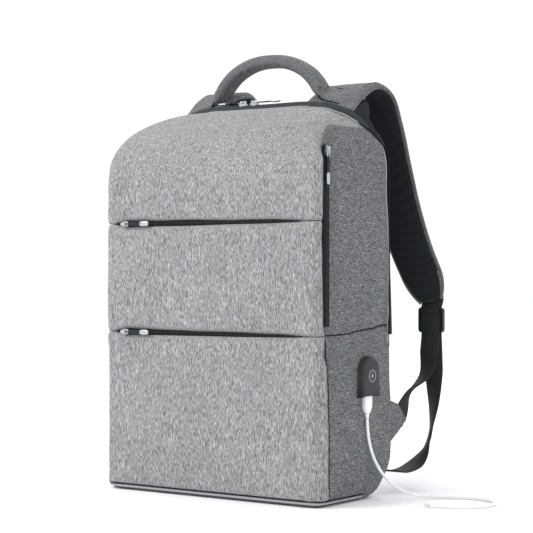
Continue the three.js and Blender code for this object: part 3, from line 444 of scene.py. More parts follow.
def smooth_path(points, count):
    """count points evenly along a centripetal Catmull-Rom curve through the given ones."""
    p = np.asarray(points, float)
    p = np.vstack([2 * p[0] - p[1], p, 2 * p[-1] - p[-2]])
    fine = []
    for a, b, c, d in zip(p[:-3], p[1:-2], p[2:-1], p[3:]):
        t0 = 0.0
        t1 = t0 + max(np.linalg.norm(b - a), 1e-9) ** 0.5
        t2 = t1 + max(np.linalg.norm(c - b), 1e-9) ** 0.5
        t3 = t2 + max(np.linalg.norm(d - c), 1e-9) ** 0.5
        t = np.linspace(t1, t2, 24, endpoint=False)[:, None]
        a1 = (t1 - t) / (t1 - t0) * a + (t - t0) / (t1 - t0) * b
        a2 = (t2 - t) / (t2 - t1) * b + (t - t1) / (t2 - t1) * c
        a3 = (t3 - t) / (t3 - t2) * c + (t - t2) / (t3 - t2) * d
        b1 = (t2 - t) / (t2 - t0) * a1 + (t - t0) / (t2 - t0) * a2
        b2 = (t3 - t) / (t3 - t1) * a2 + (t - t1) / (t3 - t1) * a3
        fine.append((t2 - t) / (t2 - t1) * b1 + (t - t1) / (t2 - t1) * b2)
    fine = np.vstack([*fine, p[-2][None]])
    along = np.concatenate([[0], np.cumsum(np.linalg.norm(np.diff(fine, axis=0), axis=1))])
    at = np.linspace(0, along[-1], count)
    return np.stack([np.interp(at, along, fine[:, k]) for k in range(3)], axis=1)


def unit(v):
    return v / np.maximum(np.linalg.norm(v, axis=-1, keepdims=True), 1e-12)


def frames_along(path, across):
    """Tangent, width direction and normal at each point. across is one direction or one per point."""
    tangent = unit(np.gradient(path, axis=0))
    across = np.broadcast_to(np.asarray(across, float), path.shape)
    side = unit(across - (across * tangent).sum(1, keepdims=True) * tangent)
    return tangent, side, np.cross(tangent, side)


def sweep(name, path, across, section, slot, material=None):
    """Carries section(i, count), a ring of (across, normal) pairs, along the path and closes the ends."""
    _, side, normal = frames_along(path, across)
    rings = [np.array(section(i, len(path))) for i in range(len(path))]
    n = len(rings[0])
    points = np.vstack([
        path[i] + rings[i][:, :1] * side[i] + rings[i][:, 1:] * normal[i] for i in range(len(path))])
    faces = quads(len(path), n)
    faces.append(tuple(reversed(range(n))))
    faces.append(tuple(range((len(path) - 1) * n, len(path) * n)))
    made = add_mesh(name, points, faces, slot, material)
    outward(made)
    return made


def outward(thing):
    bm = bmesh.new()
    bm.from_mesh(thing.data)
    bmesh.ops.recalc_face_normals(bm, faces=bm.faces)
    bm.to_mesh(thing.data)
    bm.free()


def padded_ring(half_wide, half_thick, wide_count, power=2.6):
    """A soft oblong section, with points bunched at its ends."""
    ring = []
    count = wide_count * 2
    for k in range(count):
        a = 2 * math.pi * k / count
        c, s = math.cos(a), math.sin(a)
        ring.append((half_wide * math.copysign(abs(c) ** (2 / power), c),
                     half_thick * math.copysign(abs(s) ** (2 / power), s)))
    return ring


def flat_ring(half_wide, half_thick):
    e = half_thick * 0.6
    return [(-half_wide, -half_thick + e), (-half_wide + e, -half_thick), (0, -half_thick),
            (half_wide - e, -half_thick), (half_wide, -half_thick + e), (half_wide, half_thick - e),
            (half_wide - e, half_thick), (0, half_thick), (-half_wide + e, half_thick),
            (-half_wide, half_thick - e)]


def tube(name, path, radius, slot, sides=12, material=None):
    """A round tube. Its frame is carried along without twist."""
    path = np.asarray(path, float)
    tangent = unit(np.gradient(path, axis=0))
    reference = np.array([0.0, 0.0, 1.0]) if abs(tangent[0][2]) < 0.9 else np.array([1.0, 0.0, 0.0])
    sides_at = []
    side = unit(np.cross(tangent[0], reference))
    for t in tangent:
        side = unit(side - (side @ t) * t)
        sides_at.append(side)
    radii = np.broadcast_to(np.asarray(radius, float), (len(path),))

    def ring(i, _count):
        return [(radii[i] * math.cos(2 * math.pi * k / sides), radii[i] * math.sin(2 * math.pi * k / sides))
                for k in range(sides)]
    return sweep(name, path, np.array(sides_at), ring, slot, material)


def stitches(name, places, directions, normals, slot, material, length=2.3 * MM, wide=0.42 * MM):
    """One small rounded thread for each place, lying along its direction on the cloth."""
    points, faces = [], []
    stations = (-0.5, -0.3, 0.3, 0.5)
    for place, along, up in zip(places, directions, normals):
        side = np.cross(along, up)
        base = len(points)
        for s in stations:
            thin = 0.25 if abs(s) > 0.4 else 1.0
            sink = -0.25 * MM if abs(s) > 0.4 else 0.0
            centre = place + along * s * length + up * (sink + 0.1 * MM)
            for u, v in ((1, 0), (0, 1), (-1, 0), (0, -1)):
                points.append(centre + (side * u + up * v) * wide * thin)
        faces += [tuple(base + v for v in face) for face in quads(len(stations), 4)]
        faces.append((base + 3, base + 2, base + 1, base))
        end = base + (len(stations) - 1) * 4
        faces.append((end, end + 1, end + 2, end + 3))
    return add_mesh(name, points, faces, slot, material)


def inflate(thing, pressure, steps, cap, pinned=None):
    """Cloth simulation swells a closed piece between its pinned points. No point moves more than cap."""
    rest = coordinates(thing)
    modifier = thing.modifiers.new("cloth", "CLOTH")
    settings = modifier.settings
    settings.quality = 4
    settings.mass = 0.15
    settings.tension_stiffness = settings.compression_stiffness = 12
    settings.shear_stiffness = 6
    settings.bending_stiffness = 0.3
    settings.use_pressure = True
    settings.uniform_pressure_force = pressure
    settings.effector_weights.gravity = 0
    modifier.collision_settings.use_collision = False
    if pinned is not None:
        group = thing.vertex_groups.new(name="pinned")
        for weight in np.unique(pinned[pinned > 0.02].round(2)):
            held = np.nonzero(np.abs(pinned - weight) < 0.005)[0]
            group.add([int(i) for i in held], float(weight), "REPLACE")
        settings.vertex_group_mass = "pinned"
    modifier.point_cache.frame_start = 1
    modifier.point_cache.frame_end = steps
    scene = bpy.context.scene
    for step in range(1, steps + 1):
        scene.frame_set(step)
    shown = thing.evaluated_get(bpy.context.evaluated_depsgraph_get())
    flat = np.zeros(len(rest) * 3)
    shown.data.vertices.foreach_get("co", flat)
    moved = flat.reshape(-1, 3) - rest
    size = np.linalg.norm(moved, axis=1, keepdims=True)
    thing.modifiers.remove(modifier)
    thing.vertex_groups.clear()
    scene.frame_set(1)
    set_coordinates(thing, rest + moved * np.minimum(1, cap / np.maximum(size, 1e-9)))


# ---------------------------------------------------------------- the bag's form

def superellipse(u, v, power):
    return (np.maximum(u, 0) ** power + np.maximum(v, 0) ** power) ** (1 / power) - 1


def front_view(x, z):
    run = SIDE_X - CROWN_HALF
    rise = TOP - SHOULDER_Z
    share = superellipse((np.abs(x) - CROWN_HALF) / run, (z - SHOULDER_Z) / rise, FORM_POWER)
    return share * (run + rise) / 2


def back_face(z):
    """The back stands out further towards the bottom."""
    t = np.clip((z - 0.12) / 0.26, 0, 1)
    return BACK + (6 - 7 * smoothstep(t)) * MM


def side_view(y, z):
    y = y - (back_face(z) - BACK) * np.clip((y - SEAM_Y) / (BACK - SEAM_Y), 0, 1)
    flat = np.maximum.reduce([FRONT - y, z - TOP, y - BACK, -z])
    # the last factors are about the curves' radii, which turn a share into a distance
    brow = 0.095 * superellipse((CREST_Y - y) / (CREST_Y - FRONT), (z - BROW_Z) / (TOP - BROW_Z), FORM_POWER)
    heel = 0.065 * superellipse((y - HEEL_Y) / (BACK - HEEL_Y), (HEEL_Z - z) / HEEL_Z, 2.0)
    r = BACK_CORNER
    rear = np.hypot(y - BACK + r, z - TOP + r) - r
    toe = np.hypot(FRONT + TOE - y, TOE - z) - TOE
    value = np.where((z > BROW_Z) & (y < CREST_Y), brow, flat)
    value = np.where((z < HEEL_Z) & (y > HEEL_Y), heel, value)
    value = np.where((z > TOP - r) & (y > BACK - r), rear, value)
    return np.where((z < TOE) & (y < FRONT + TOE), toe, value)


def form(points):
    """Below 0 inside the bag, above 0 outside, close to a distance near the surface."""
    x, y, z = np.asarray(points, float).T
    a = front_view(x, z)
    b = side_view(y, z)
    k = EDGE_SOFTNESS
    h = np.maximum(k - np.abs(a - b), 0) / k
    return np.maximum(a, b) + h * h * k * 0.25


def on_form(origin, direction, reach=0.4):
    """Where rays from inside the bag leave it."""
    near, far = np.zeros(len(origin)), np.full(len(origin), reach)
    for _ in range(34):
        mid = (near + far) / 2
        inside = form(origin + mid[:, None] * direction) < 0
        near, far = np.where(inside, mid, near), np.where(inside, far, mid)
    return origin + near[:, None] * direction


def form_normal(points):
    step = 0.4 * MM
    gradient = [form(points + step * np.eye(3)[k]) - form(points - step * np.eye(3)[k]) for k in range(3)]
    return unit(np.stack(gradient, axis=1))


def gusset_edge(z, top_y, side_y):
    """The gusset's edge as y at each height: level over the top, then down the rear of the sides."""
    t = np.clip((z - (TOP - 50 * MM)) / (46 * MM), 0, 1)
    return side_y + (top_y - side_y) * t


def gusset_front(z):
    return gusset_edge(z, 20 * MM, BACK - 7 * MM)


def gusset_back(z):
    return gusset_edge(z, 34 * MM, BACK - 1.5 * MM)


def side_seam_z(y):
    """The seam across the sides starts level with the lower pocket and rises to the back."""
    return LOWER_ZIP + 10 * MM * np.clip((y - SEAM_Y) / (125 * MM), 0, 1) ** 1.3


def side_arch(points):
    """Below 0 under the side panel's upper outline, above 0 past it: a level edge and a round corner."""
    y, z = points[:, 1], points[:, 2]
    r = ARCH_RADIUS
    corner = np.hypot(np.maximum(SEAM_Y + r - y, 0), np.maximum(z - SIDE_TOP + r, 0)) - r
    return np.where((y < SEAM_Y + r) & (z > SIDE_TOP - r), corner, z - SIDE_TOP)


def side_rim(points):
    """Below 0 within the side view's outline moved in by the rim, above 0 outside it."""
    return side_view(points[:, 1], points[:, 2]) + 6 * MM


def on_front(x, y, z):
    return y < SEAM_Y + 1 * MM


def on_gusset(x, y, z):
    return z > GUSSET_END


# Each seam as two functions of x, y, z: a field that is 0 on the seam, and where the seam is really sewn.
SEAMS = {
    "lower_slit": (lambda x, y, z: z - LOWER_ZIP, on_front),
    "upper_slit": (lambda x, y, z: z - UPPER_ZIP, on_front),
    "side_front": (lambda x, y, z: y - SEAM_Y,
                   lambda x, y, z: (z < SIDE_TOP - ARCH_RADIUS) & (z > 4 * MM)),
    "side_mid": (lambda x, y, z: z - side_seam_z(y),
                 lambda x, y, z: (y > SEAM_Y) & (y < gusset_front(z))),
    "side_top": (lambda x, y, z: side_arch(np.stack([x, y, z], axis=1)),
                 lambda x, y, z: (z > SIDE_TOP - ARCH_RADIUS) & (y < gusset_front(z))
                 & (np.abs(x) > HALF - 40 * MM)),
    "gusset_front": (lambda x, y, z: y - gusset_front(z), on_gusset),
    "gusset_back": (lambda x, y, z: y - gusset_back(z), on_gusset),
    "gusset_end": (lambda x, y, z: z - GUSSET_END,
                   lambda x, y, z: (y > gusset_front(z)) & (y < BACK - 6 * MM)),
    "rim": (lambda x, y, z: side_rim(np.stack([x, y, z], axis=1)),
            lambda x, y, z: (z < GUSSET_END) & (np.abs(x) > HALF - 20 * MM)),
    "base": (lambda x, y, z: z - FOOT_Z, lambda x, y, z: y < HEEL_Y),
    "base_back": (lambda x, y, z: z - BASE_TOP, lambda x, y, z: y > BACK - 7 * MM),
}


def seam_distance(points):
    nearest = np.full(len(points), 1.0)
    for field, sewn in SEAMS.values():
        nearest = np.where(sewn(*points.T), np.minimum(nearest, np.abs(field(*points.T))), nearest)
    return nearest


def box_grid(lo, hi, cell):
    """A quad grid over a box, as points and faces with shared edges."""
    points, faces = [], []
    index = {}
    counts = [max(2, round((hi[k] - lo[k]) / cell)) for k in range(3)]

    def vertex(key):
        if key not in index:
            index[key] = len(points)
            points.append([lo[k] + (hi[k] - lo[k]) * key[k] / counts[k] for k in range(3)])
        return index[key]

    for axis in range(3):
        u, v = (axis + 1) % 3, (axis + 2) % 3
        for end in (0, counts[axis]):
            for i in range(counts[u]):
                for j in range(counts[v]):
                    keys = []
                    for di, dj in ((0, 0), (1, 0), (1, 1), (0, 1)):
                        key = [0, 0, 0]
                        key[axis], key[u], key[v] = end, i + di, j + dj
                        keys.append(vertex(tuple(key)))
                    faces.append(keys if end else keys[::-1])
    return np.array(points), faces


def wrinkles(points, scale, amount, seed):
    offset = Vector((seed * 7.3, seed * 3.1, seed * 5.7))
    return np.array([noise.noise(Vector(p) / scale + offset) for p in points]) * amount


def bag_skin():
    """The whole outer cloth as one closed mesh: swollen by simulation between its seams, then creased."""
    lo = np.array([-HALF, FRONT, 0])
    hi = np.array([HALF, BACK, TOP])
    points, faces = box_grid(lo, hi, SEAM_CELL)
    inset = 60 * MM
    centre = np.clip(points, lo + inset, hi - inset)
    points = on_form(centre, unit(points - centre))
    skin = add_mesh("bag_skin", points, faces, "melange")
    sewn = np.exp(-(seam_distance(points) / (7 * MM)) ** 2)
    standing = np.clip(1 - points[:, 2] / (10 * MM), 0, 1)
    inflate(skin, 1.6, 14, 9 * MM, np.clip(np.maximum(sewn, standing), 0, 1))

    points = coordinates(skin)
    normals = form_normal(points)
    upright = np.clip((points[:, 2] - 4 * MM) / (12 * MM), 0, 1)
    gather = 0.35 + 0.65 * np.exp(-(seam_distance(points) / (35 * MM)) ** 2)
    crease = wrinkles(points * (1, 1, 0.55), 52 * MM, 2.2 * MM, 1)
    crease += wrinkles(points, 21 * MM, 0.9 * MM, 2) * gather
    dip = 1.5 * MM * np.exp(-(seam_distance(points) / (3.2 * MM)) ** 2)
    calm = 1 - 0.6 * (side_rim(points) > 0)
    near_top = np.clip((points[:, 2] - (TOP - 34 * MM)) / (20 * MM), 0, 1)
    behind = np.clip((points[:, 1] - gusset_front(points[:, 2]) + 0.8 * MM) / (2.6 * MM), 0, 1)
    step = (BAND_RISE * behind - 1.2 * MM * (1 - behind)) * near_top
    set_coordinates(skin, points + normals * ((crease * calm * upright) - dip * upright + step)[:, None])
    return skin


def cut(bm, field):
    """Splits the faces along the line where the field is 0."""
    bm.verts.ensure_lookup_table()
    points = np.array([v.co for v in bm.verts])
    value = {v: f for v, f in zip(bm.verts, field(*points.T))}
    for v in bm.verts:
        if abs(value[v]) < 0.05 * MM:
            value[v] = 0.0
    crossing = [e for e in bm.edges if value[e.verts[0]] * value[e.verts[1]] < 0]
    for e in crossing:
        a, b = e.verts
        share = value[a] / (value[a] - value[b])
        _, v = bmesh.utils.edge_split(e, a, share)
        value[v] = 0.0
    for f in list(bm.faces):
        on = [v for v in f.verts if value[v] == 0.0]
        if len(on) == 2 and not bm.edges.get(on):
            above = any(value[v] > 0 for v in f.verts)
            below = any(value[v] < 0 for v in f.verts)
            if above and below:
                bmesh.utils.face_split(f, on[0], on[1])


PANELS = {
    "front_lower_cloth": ("front_panel_lower", "melange"),
    "front_middle_cloth": ("front_panel_middle", "melange"),
    "front_upper_cloth": ("front_panel_upper", "melange"),
    # the side panels take the darker melange, its darkness partly their own grey and partly painted shade
    "side_upper_left_cloth": ("side_panel_left", "melange_dark"),
    "side_upper_right_cloth": ("side_panel_right", "melange_dark"),
    "side_lower_left_cloth": ("side_panel_lower_left", "melange_dark"),
    "side_lower_right_cloth": ("side_panel_lower_right", "melange_dark"),
    "base_cloth": ("base_panel", "melange_dark"),
    "back_cloth": ("back_panel", "air_mesh"),
    "gusset_cloth": ("zip_gusset", "lining"),
}


def panel_of(centres):
    """The panel that each face belongs to, from the face's middle."""
    x, y, z = centres.T
    rim = side_rim(centres) > 0
    side = np.where(x > 0, "right", "left")
    level = np.where(z > side_seam_z(y), "side_upper_", "side_lower_")
    name = np.char.add(np.char.add(level, side), "_cloth").astype("U24")
    front = (y < SEAM_Y) | (z > SIDE_TOP) | ((side_arch(centres) > 0) & (z > SIDE_TOP - ARCH_RADIUS))
    name[front & (z < LOWER_ZIP)] = "front_lower_cloth"
    name[front & (z > LOWER_ZIP) & (z < UPPER_ZIP)] = "front_middle_cloth"
    name[front & (z > UPPER_ZIP)] = "front_upper_cloth"
    name[(y > gusset_front(z)) & (z > GUSSET_END)] = "back_cloth"
    by_edge = (np.abs(x) > HALF - 9 * MM) | (z > TOP - 52 * MM)
    name[(y > gusset_front(z)) & (y < gusset_back(z)) & (z > GUSSET_END) & by_edge] = "gusset_cloth"
    name[rim & (y > HEEL_Y) & (z > BASE_TOP) & (z < GUSSET_END)] = "back_cloth"
    name[rim & (z < BASE_TOP) & (y > HEEL_Y)] = "base_cloth"
    name[z < FOOT_Z] = "base_cloth"
    return name


def slit_opening(x):
    """Half the height of a front pocket's mouth: widest by its slider and closing to both sides."""
    start = -HALF + 13 * MM
    t = np.clip((x - start) / (2 * HALF - 30 * MM), 0, 1)
    return 3.1 * MM * np.minimum(t / 0.07, 1) ** 0.7 * (1 - t) ** 0.62 + 0.35 * MM


def rolled(away, radius):
    """How far in cloth lies that turns round a radius at its edge."""
    near = np.abs(away)
    depth = radius - np.sqrt(np.maximum(radius ** 2 - (radius - near) ** 2, 0))
    return np.where(near < radius, depth, 0)


def open_slits(points, name):
    """Rolls the cloth of the front panels in at the pocket mouths."""
    moved = points.copy()
    for z, above, below in ((LOWER_ZIP, "front_middle_cloth", "front_lower_cloth"),
                            (UPPER_ZIP, "front_upper_cloth", "front_middle_cloth")):
        if name not in (above, below):
            continue
        away = points[:, 2] - z
        mine = (away >= -0.1 * MM) if name == above else (away <= 0.1 * MM)
        front = points[:, 1] < SEAM_Y + 1 * MM
        strength = np.where(mine & front, 1.0, 0.0)
        gap = slit_opening(points[:, 0]) * np.exp(-(away / (11 * MM)) ** 2)
        moved[:, 2] += strength * gap * (1 if name == above else -1)
        moved[:, 1] += strength * rolled(away, 2.6 * MM) * np.clip(gap / (1.2 * MM), 0.25, 1)
    return moved


def side_mouth(points, name):
    """Opens the seam at the side pocket's zip on the right."""
    if not (name.startswith("front") or (name.startswith("side") and "right" in name)):
        return points
    moved = points.copy()
    zip_low, zip_high = low("side_pocket_zip").z, high("side_pocket_zip").z
    t = np.clip((points[:, 2] - zip_low) / (zip_high - zip_low), 0, 1)
    wide = 3.2 * MM * np.minimum((1 - t) / 0.05, 1) * np.clip(t, 0, 1) ** 0.7
    away = points[:, 1] - SEAM_Y
    right = points[:, 0] > 0.1
    pull = wide * np.exp(-(away / (9 * MM)) ** 2) * right
    moved[:, 1] += pull * (1 if name.startswith("side") else -1)
    moved[:, 0] -= rolled(away, 2.4 * MM) * right * np.clip(wide / (1.2 * MM), 0, 1)
    reach = np.clip((points[:, 2] - (LOWER_ZIP - 36 * MM)) / (14 * MM), 0, 1) * (points[:, 2] < SIDE_TOP)
    moved[:, 0] -= 5 * MM * np.exp(-(away / (10 * MM)) ** 2) * reach * right
    return moved


def add_bag():
    skin = bag_skin()
    bm = bmesh.new()
    bm.from_mesh(skin.data)
    for field, _ in SEAMS.values():
        cut(bm, field)
    bm.verts.ensure_lookup_table()
    centres = np.array([f.calc_center_median() for f in bm.faces])
    names = panel_of(centres)
    points = np.array([v.co for v in bm.verts])
    index = {v: i for i, v in enumerate(bm.verts)}
    faces = [[index[v] for v in f.verts] for f in bm.faces]
    bm.free()
    bpy.data.objects.remove(skin)
    for name, (node, slot) in PANELS.items():
        mine = [f for f, n in zip(faces, names) if n == name]
        used = sorted({i for f in mine for i in f})
        new = {old: i for i, old in enumerate(used)}
        shaped = side_mouth(open_slits(points[used], name), name)
        cloth = add_mesh(name, shaped, [[new[i] for i in f] for f in mine], slot)
        solidified(cloth, CLOTH, -1)
        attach(cloth, "bag")
        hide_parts(node)


# ---------------------------------------------------------------- piping, topstitching and painted seam shade

class Surface:
    """The cloth as it lies once shaped, for setting thread and piping on it."""

    def __init__(self):
        points, faces = [], []
        for name in PANELS:
            mesh = bpy.data.objects[name].data
            first = len(points)
            points += [v.co.copy() for v in mesh.vertices]
            faces += [[first + v for v in f.vertices] for f in mesh.polygons]
        self.tree = BVHTree.FromPolygons(points, faces)

    def settle(self, points):
        found = [self.tree.find_nearest(Vector(p)) for p in points]
        places = np.array([tuple(f[0]) for f in found])
        ups = np.array([tuple(f[1]) for f in found])
        outside = form_normal(places)
        ups = np.where((ups * outside).sum(1, keepdims=True) < 0, -ups, ups)
        return places, ups


def sewn_line(surface, name, line, slot, material, pitch=3.4 * MM, length=2.5 * MM, wide=0.4 * MM):
    """Topstitching along a line that runs near the cloth."""
    total = np.linalg.norm(np.diff(line, axis=0), axis=1).sum()
    places, ups = surface.settle(smooth_path(line, max(4, round(total / pitch))))
    made = stitches(name, places, unit(np.gradient(places, axis=0)), ups, slot, material, length, wide)
    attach(made, "bag")


def laid_piping_and_shade(surface, name, line, radius, slot, material):
    """A thin round tube that lies on the cloth along a line, for piping and for the dark tubes of painted seam
    shade.
    """
    places, _ = surface.settle(line)
    made = tube(name, smooth_path(places[::3], len(places)), radius, slot, 8, material)
    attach(made, "bag")


def side_line(side, ys, zs):
    """A line on the left (-1) or right (1) side of the bag."""
    ys, zs = np.broadcast_arrays(ys, zs)
    origin = np.stack([0 * ys, ys, zs], axis=1)
    return on_form(origin, np.tile([float(side), 0, 0], (len(ys), 1)))


def side_seams(surface, word, side):
    zs = np.linspace(14 * MM, SIDE_TOP - 36 * MM, 60)
    line = side_line(side, SEAM_Y - 3.0 * MM, zs)
    sewn_line(surface, f"seam_stitches_{word}_0", line, "melange", THREAD_GREY)
    if side < 0:
        line = side_line(side, SEAM_Y + 3.2 * MM, zs)
        sewn_line(surface, f"seam_stitches_{word}_1", line, "melange_dark", THREAD_GREY)
    # the arch at the top of the side panel
    r, t = ARCH_RADIUS, np.linspace(math.pi, math.pi / 2, 14)
    ys = np.concatenate([SEAM_Y + r + r * np.cos(t), np.linspace(SEAM_Y + r + 5 * MM, BACK - 12 * MM, 24)])
    zs = np.concatenate([SIDE_TOP - r + r * np.sin(t), np.full(24, SIDE_TOP)])
    for k, inset in enumerate((2.6, 5.2)):
        line = side_line(side, ys + inset * 0.35 * MM, zs - inset * MM)
        sewn_line(surface, f"arch_stitches_{word}_{k}", line, "melange_dark", THREAD_GREY)
    # down the rear of the side, with a light piping behind it
    zs = np.linspace(SIDE_TOP - 4 * MM, GUSSET_END, 50)
    for k, away in enumerate((13, 16.5)):
        line = side_line(side, BACK - away * MM, zs)
        sewn_line(surface, f"rear_stitches_{word}_{k}", line, "melange_dark", THREAD_GREY)
    line = side_line(side, BACK - 8.4 * MM, zs)
    laid_piping_and_shade(surface, f"rear_piping_{word}", line, 1.1 * MM, "melange_dark", THREAD_PALE)
    # painted shade: thin dark tubes laid where the side's cloths meet, standing for the shadow in these seams
    ys = np.linspace(SEAM_Y + MM, BACK - 11 * MM, 40)
    line = side_line(side, ys, side_seam_z(ys))
    laid_piping_and_shade(surface, f"side_seam_{word}", line, 0.8 * MM, "melange_dark", DARK_THREAD_AND_SEAM_SHADE)
    line = side_line(side, SEAM_Y, np.linspace(12 * MM, LOWER_ZIP if side > 0 else SIDE_TOP - 36 * MM, 50))
    laid_piping_and_shade(surface, f"corner_seam_{word}", line, 0.65 * MM, "melange_dark", DARK_THREAD_AND_SEAM_SHADE)


def seam_details():
    surface = Surface()
    for word, side in (("left", -1), ("right", 1)):
        side_seams(surface, word, side)
    # two rows and a piping on the front cloth beside the zip band over the top
    for k, back in enumerate((2.6, 5.4)):
        line, _ = over_the_top(lambda z: gusset_front(z) - back * MM, 150, TOP - 36 * MM)
        sewn_line(surface, f"brow_stitches_{k}", line[4:-4], "melange", THREAD_GREY)
    line, _ = over_the_top(lambda z: gusset_front(z) - 0.6 * MM, 150, TOP - 36 * MM)
    laid_piping_and_shade(surface, "brow_piping", line[3:-3], 1.0 * MM, "melange", THREAD_PALE)
    # light piping round the foot, under a thin dark line
    turn = np.linspace(0.03 * math.pi, -1.03 * math.pi, 150)
    heading = np.stack([np.cos(turn), np.sin(turn), 0 * turn], axis=1)
    for name, z, radius, material in (("foot_piping", 4.6, 1.5, THREAD_PALE),
                                      ("foot_line", 7.2, 0.9, DARK_THREAD_AND_SEAM_SHADE)):
        line = on_form(np.tile([0, 0, z * MM], (150, 1)), heading)
        laid_piping_and_shade(surface, name, line, radius * MM, "melange_dark", material)


# ---------------------------------------------------------------- zips

def teeth(name, path, up, slot, pitch=1.9 * MM, wide=3.6 * MM):
    """Coil teeth: a rounded bar across the chain at each pitch."""
    length = np.linalg.norm(np.diff(path, axis=0), axis=1).sum()
    line = smooth_path(path[::max(1, len(path) // 60)], max(2, int(length / pitch)))
    ups = np.array([up[np.argmin(((path - p) ** 2).sum(1))] for p in line])
    tangent = unit(np.gradient(line, axis=0))
    across = unit(np.cross(tangent, ups))
    return stitches(name, line, across, ups, slot, LOOKS["plastic"], wide, 0.62 * MM)


def add_zip(node, path, across, up, half_wide, tape_lift=0.0, chain_lift=0.9 * MM):
    """A tape along the path with its teeth on it."""
    tape = ribbon_piece(node + "_tape", path + up * tape_lift, across, "zip", half_wide, 0.6 * MM)
    chain = teeth(node + "_teeth", path + up * chain_lift, up, "zip")
    ride_all("bag", tape, chain)
    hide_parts(node)


def pocket_zip(node, z):
    count = 90
    x = np.linspace(-HALF + 14 * MM, HALF - 14 * MM, count)
    path = np.stack([x, np.full(count, FRONT + 3.6 * MM), np.full(count, z)], axis=1)
    add_zip(node, path, (0, 0, 1), np.tile([0.0, -1.0, 0.0], (count, 1)), 7 * MM)


def side_zip(node="side_pocket_zip"):
    count = 70
    z = np.linspace(low(node).z + 2 * MM, high(node).z - 2 * MM, count)
    path = np.stack([np.full(count, SIDE_X - 4.2 * MM), np.full(count, SEAM_Y), z], axis=1)
    add_zip(node, path, (0, 1, 0), np.tile([1.0, 0.0, 0.0], (count, 1)), 6 * MM)


def over_the_top(middle_y, count, from_z):
    """A path on the bag's surface: up one rear edge, over the top and down the other."""
    centre_z = 0.30
    lowest = math.atan2(HALF, from_z - centre_z)
    angle = np.linspace(-lowest, lowest, count)
    direction = np.stack([np.sin(angle), np.zeros(count), np.cos(angle)], axis=1)
    y = np.full(count, 30 * MM)
    for _ in range(8):
        origin = np.stack([np.zeros(count), y, np.full(count, centre_z)], axis=1)
        found = on_form(origin, direction)
        y = middle_y(found[:, 2])
    return found, form_normal(found)


def main_zip():
    path, _ = over_the_top(lambda z: (gusset_front(z) + gusset_back(z)) / 2, 420, GUSSET_END + 4 * MM)
    path = smooth_path(path[::6], 420)
    up = form_normal(path)
    across = unit(np.cross(unit(np.gradient(path, axis=0)), up))
    add_zip("main_zip", path, across, up, 6 * MM, 0.3 * MM, 1.1 * MM)


# Each zip's name, the way its closed pull points, and the way that stands off the bag
PULLS = (
    ("lower_pocket", (1, 0, 0), (0, -1, 0)), ("upper_pocket", (1, 0, 0), (0, -1, 0)),
    ("side_pocket", (0, 0, -1), (1, 0, 0)), ("main_left", (-1, 0, 0), (0, 0, 1)),
    ("main_right", (1, 0, 0), (0, 0, 1)))
# Half of the wire loop on a pull, along and across it in mm
LOOP = ((9, 1.2), (5, 2.0), (1.2, 1.9), (0, 1.2))


def zip_pull(zip_name, along, out):
    """A silver wire loop, a black cord strip and a bright rounded tip. It lies where its CAD pull lies."""
    across = np.cross(out, along)
    lo, hi = (np.array(c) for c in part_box(zip_name + "_pull"))
    length = abs((hi - lo) @ along)
    pin = (lo + hi) / 2 - along * (length / 2 - 0.6 * MM)

    def path(count, *places):
        return smooth_path([pin + along * u * MM + across * v * MM for u, v in places], count)

    def tip_ring(i, n):
        swell = 1 - 0.45 * abs(2 * i / (n - 1) - 1) ** 5
        return padded_ring(2.9 * MM * swell, 1.25 * MM * swell, 8, 3.2)

    loop = path(40, *LOOP, *((u, -v) for u, v in reversed(LOOP)))
    wire = tube(zip_name + "_pull_loop", loop, 0.55 * MM, "silver", 8)
    strip = sweep(zip_name + "_pull_strip", path(14, (7, 0), (16, 0), (27, 0)), across,
                  lambda i, n: padded_ring(2.4 * MM, 0.75 * MM, 6), "zip", LOOKS["webbing"])
    tip_path = path(16, (24, 0), (27, 0), (33, 0), (37.4, 0))
    tip = sweep(zip_name + "_pull_tip", tip_path, across, tip_ring, "silver")
    ride_all(zip_name + "_zip_pull", wire, strip, tip)
    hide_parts(zip_name + "_pull")


# ---------------------------------------------------------------- harness

# A shoulder strap's middle line from its seam, in mm out, back and up
STRAP_STEPS = [
    (0, -38, -18), (0, -30, -12), (0, -20, -5), (0, -9, 2), (0.5, 3, 7), (1, 13, 9.5), (3, 27, 10),
    (6, 45, 0), (10, 59, -34), (17, 68, -82), (26, 76, -132), (37, 86, -179), (50, 98, -222), (55, 102, -241)]
# Section of the wedge under a strap's sewn end, in mm back and up
WEDGE = [(35, 438), (36, 446), (50, 455), (62, 462), (71, 464), (75.5, 459), (77, 450), (76, 438), (60, 430)]


def strap_route(side):
    """Middle of a shoulder strap, from where it is sewn on the bag's top to its adjuster."""
    seam = Vector((side * STRAP_X, STRAP_SEAM_Y, STRAP_SEAM_Z))
    return [tuple(seam + Vector((side * x, y, z)) * MM) for x, y, z in STRAP_STEPS]


def strap_width(share):
    """Half the width of a strap, from its seam at 0 to its adjuster at 1."""
    taper = 65 + (53 - 65) * share
    tip = np.clip((share - 0.90) / 0.10, 0, 1)
    return taper / 2 * (1 - 0.45 * tip ** 2) * MM


def off_path(points, path, side, normal, ring_count):
    """For each point of a swept piece: its ring's number, and how far it is across and off the path."""
    index = np.minimum(np.arange(len(points)) // ring_count, len(path) - 1)
    away = points - path[index]
    return index, np.abs((away * side[index]).sum(1)), (away * normal[index]).sum(1)


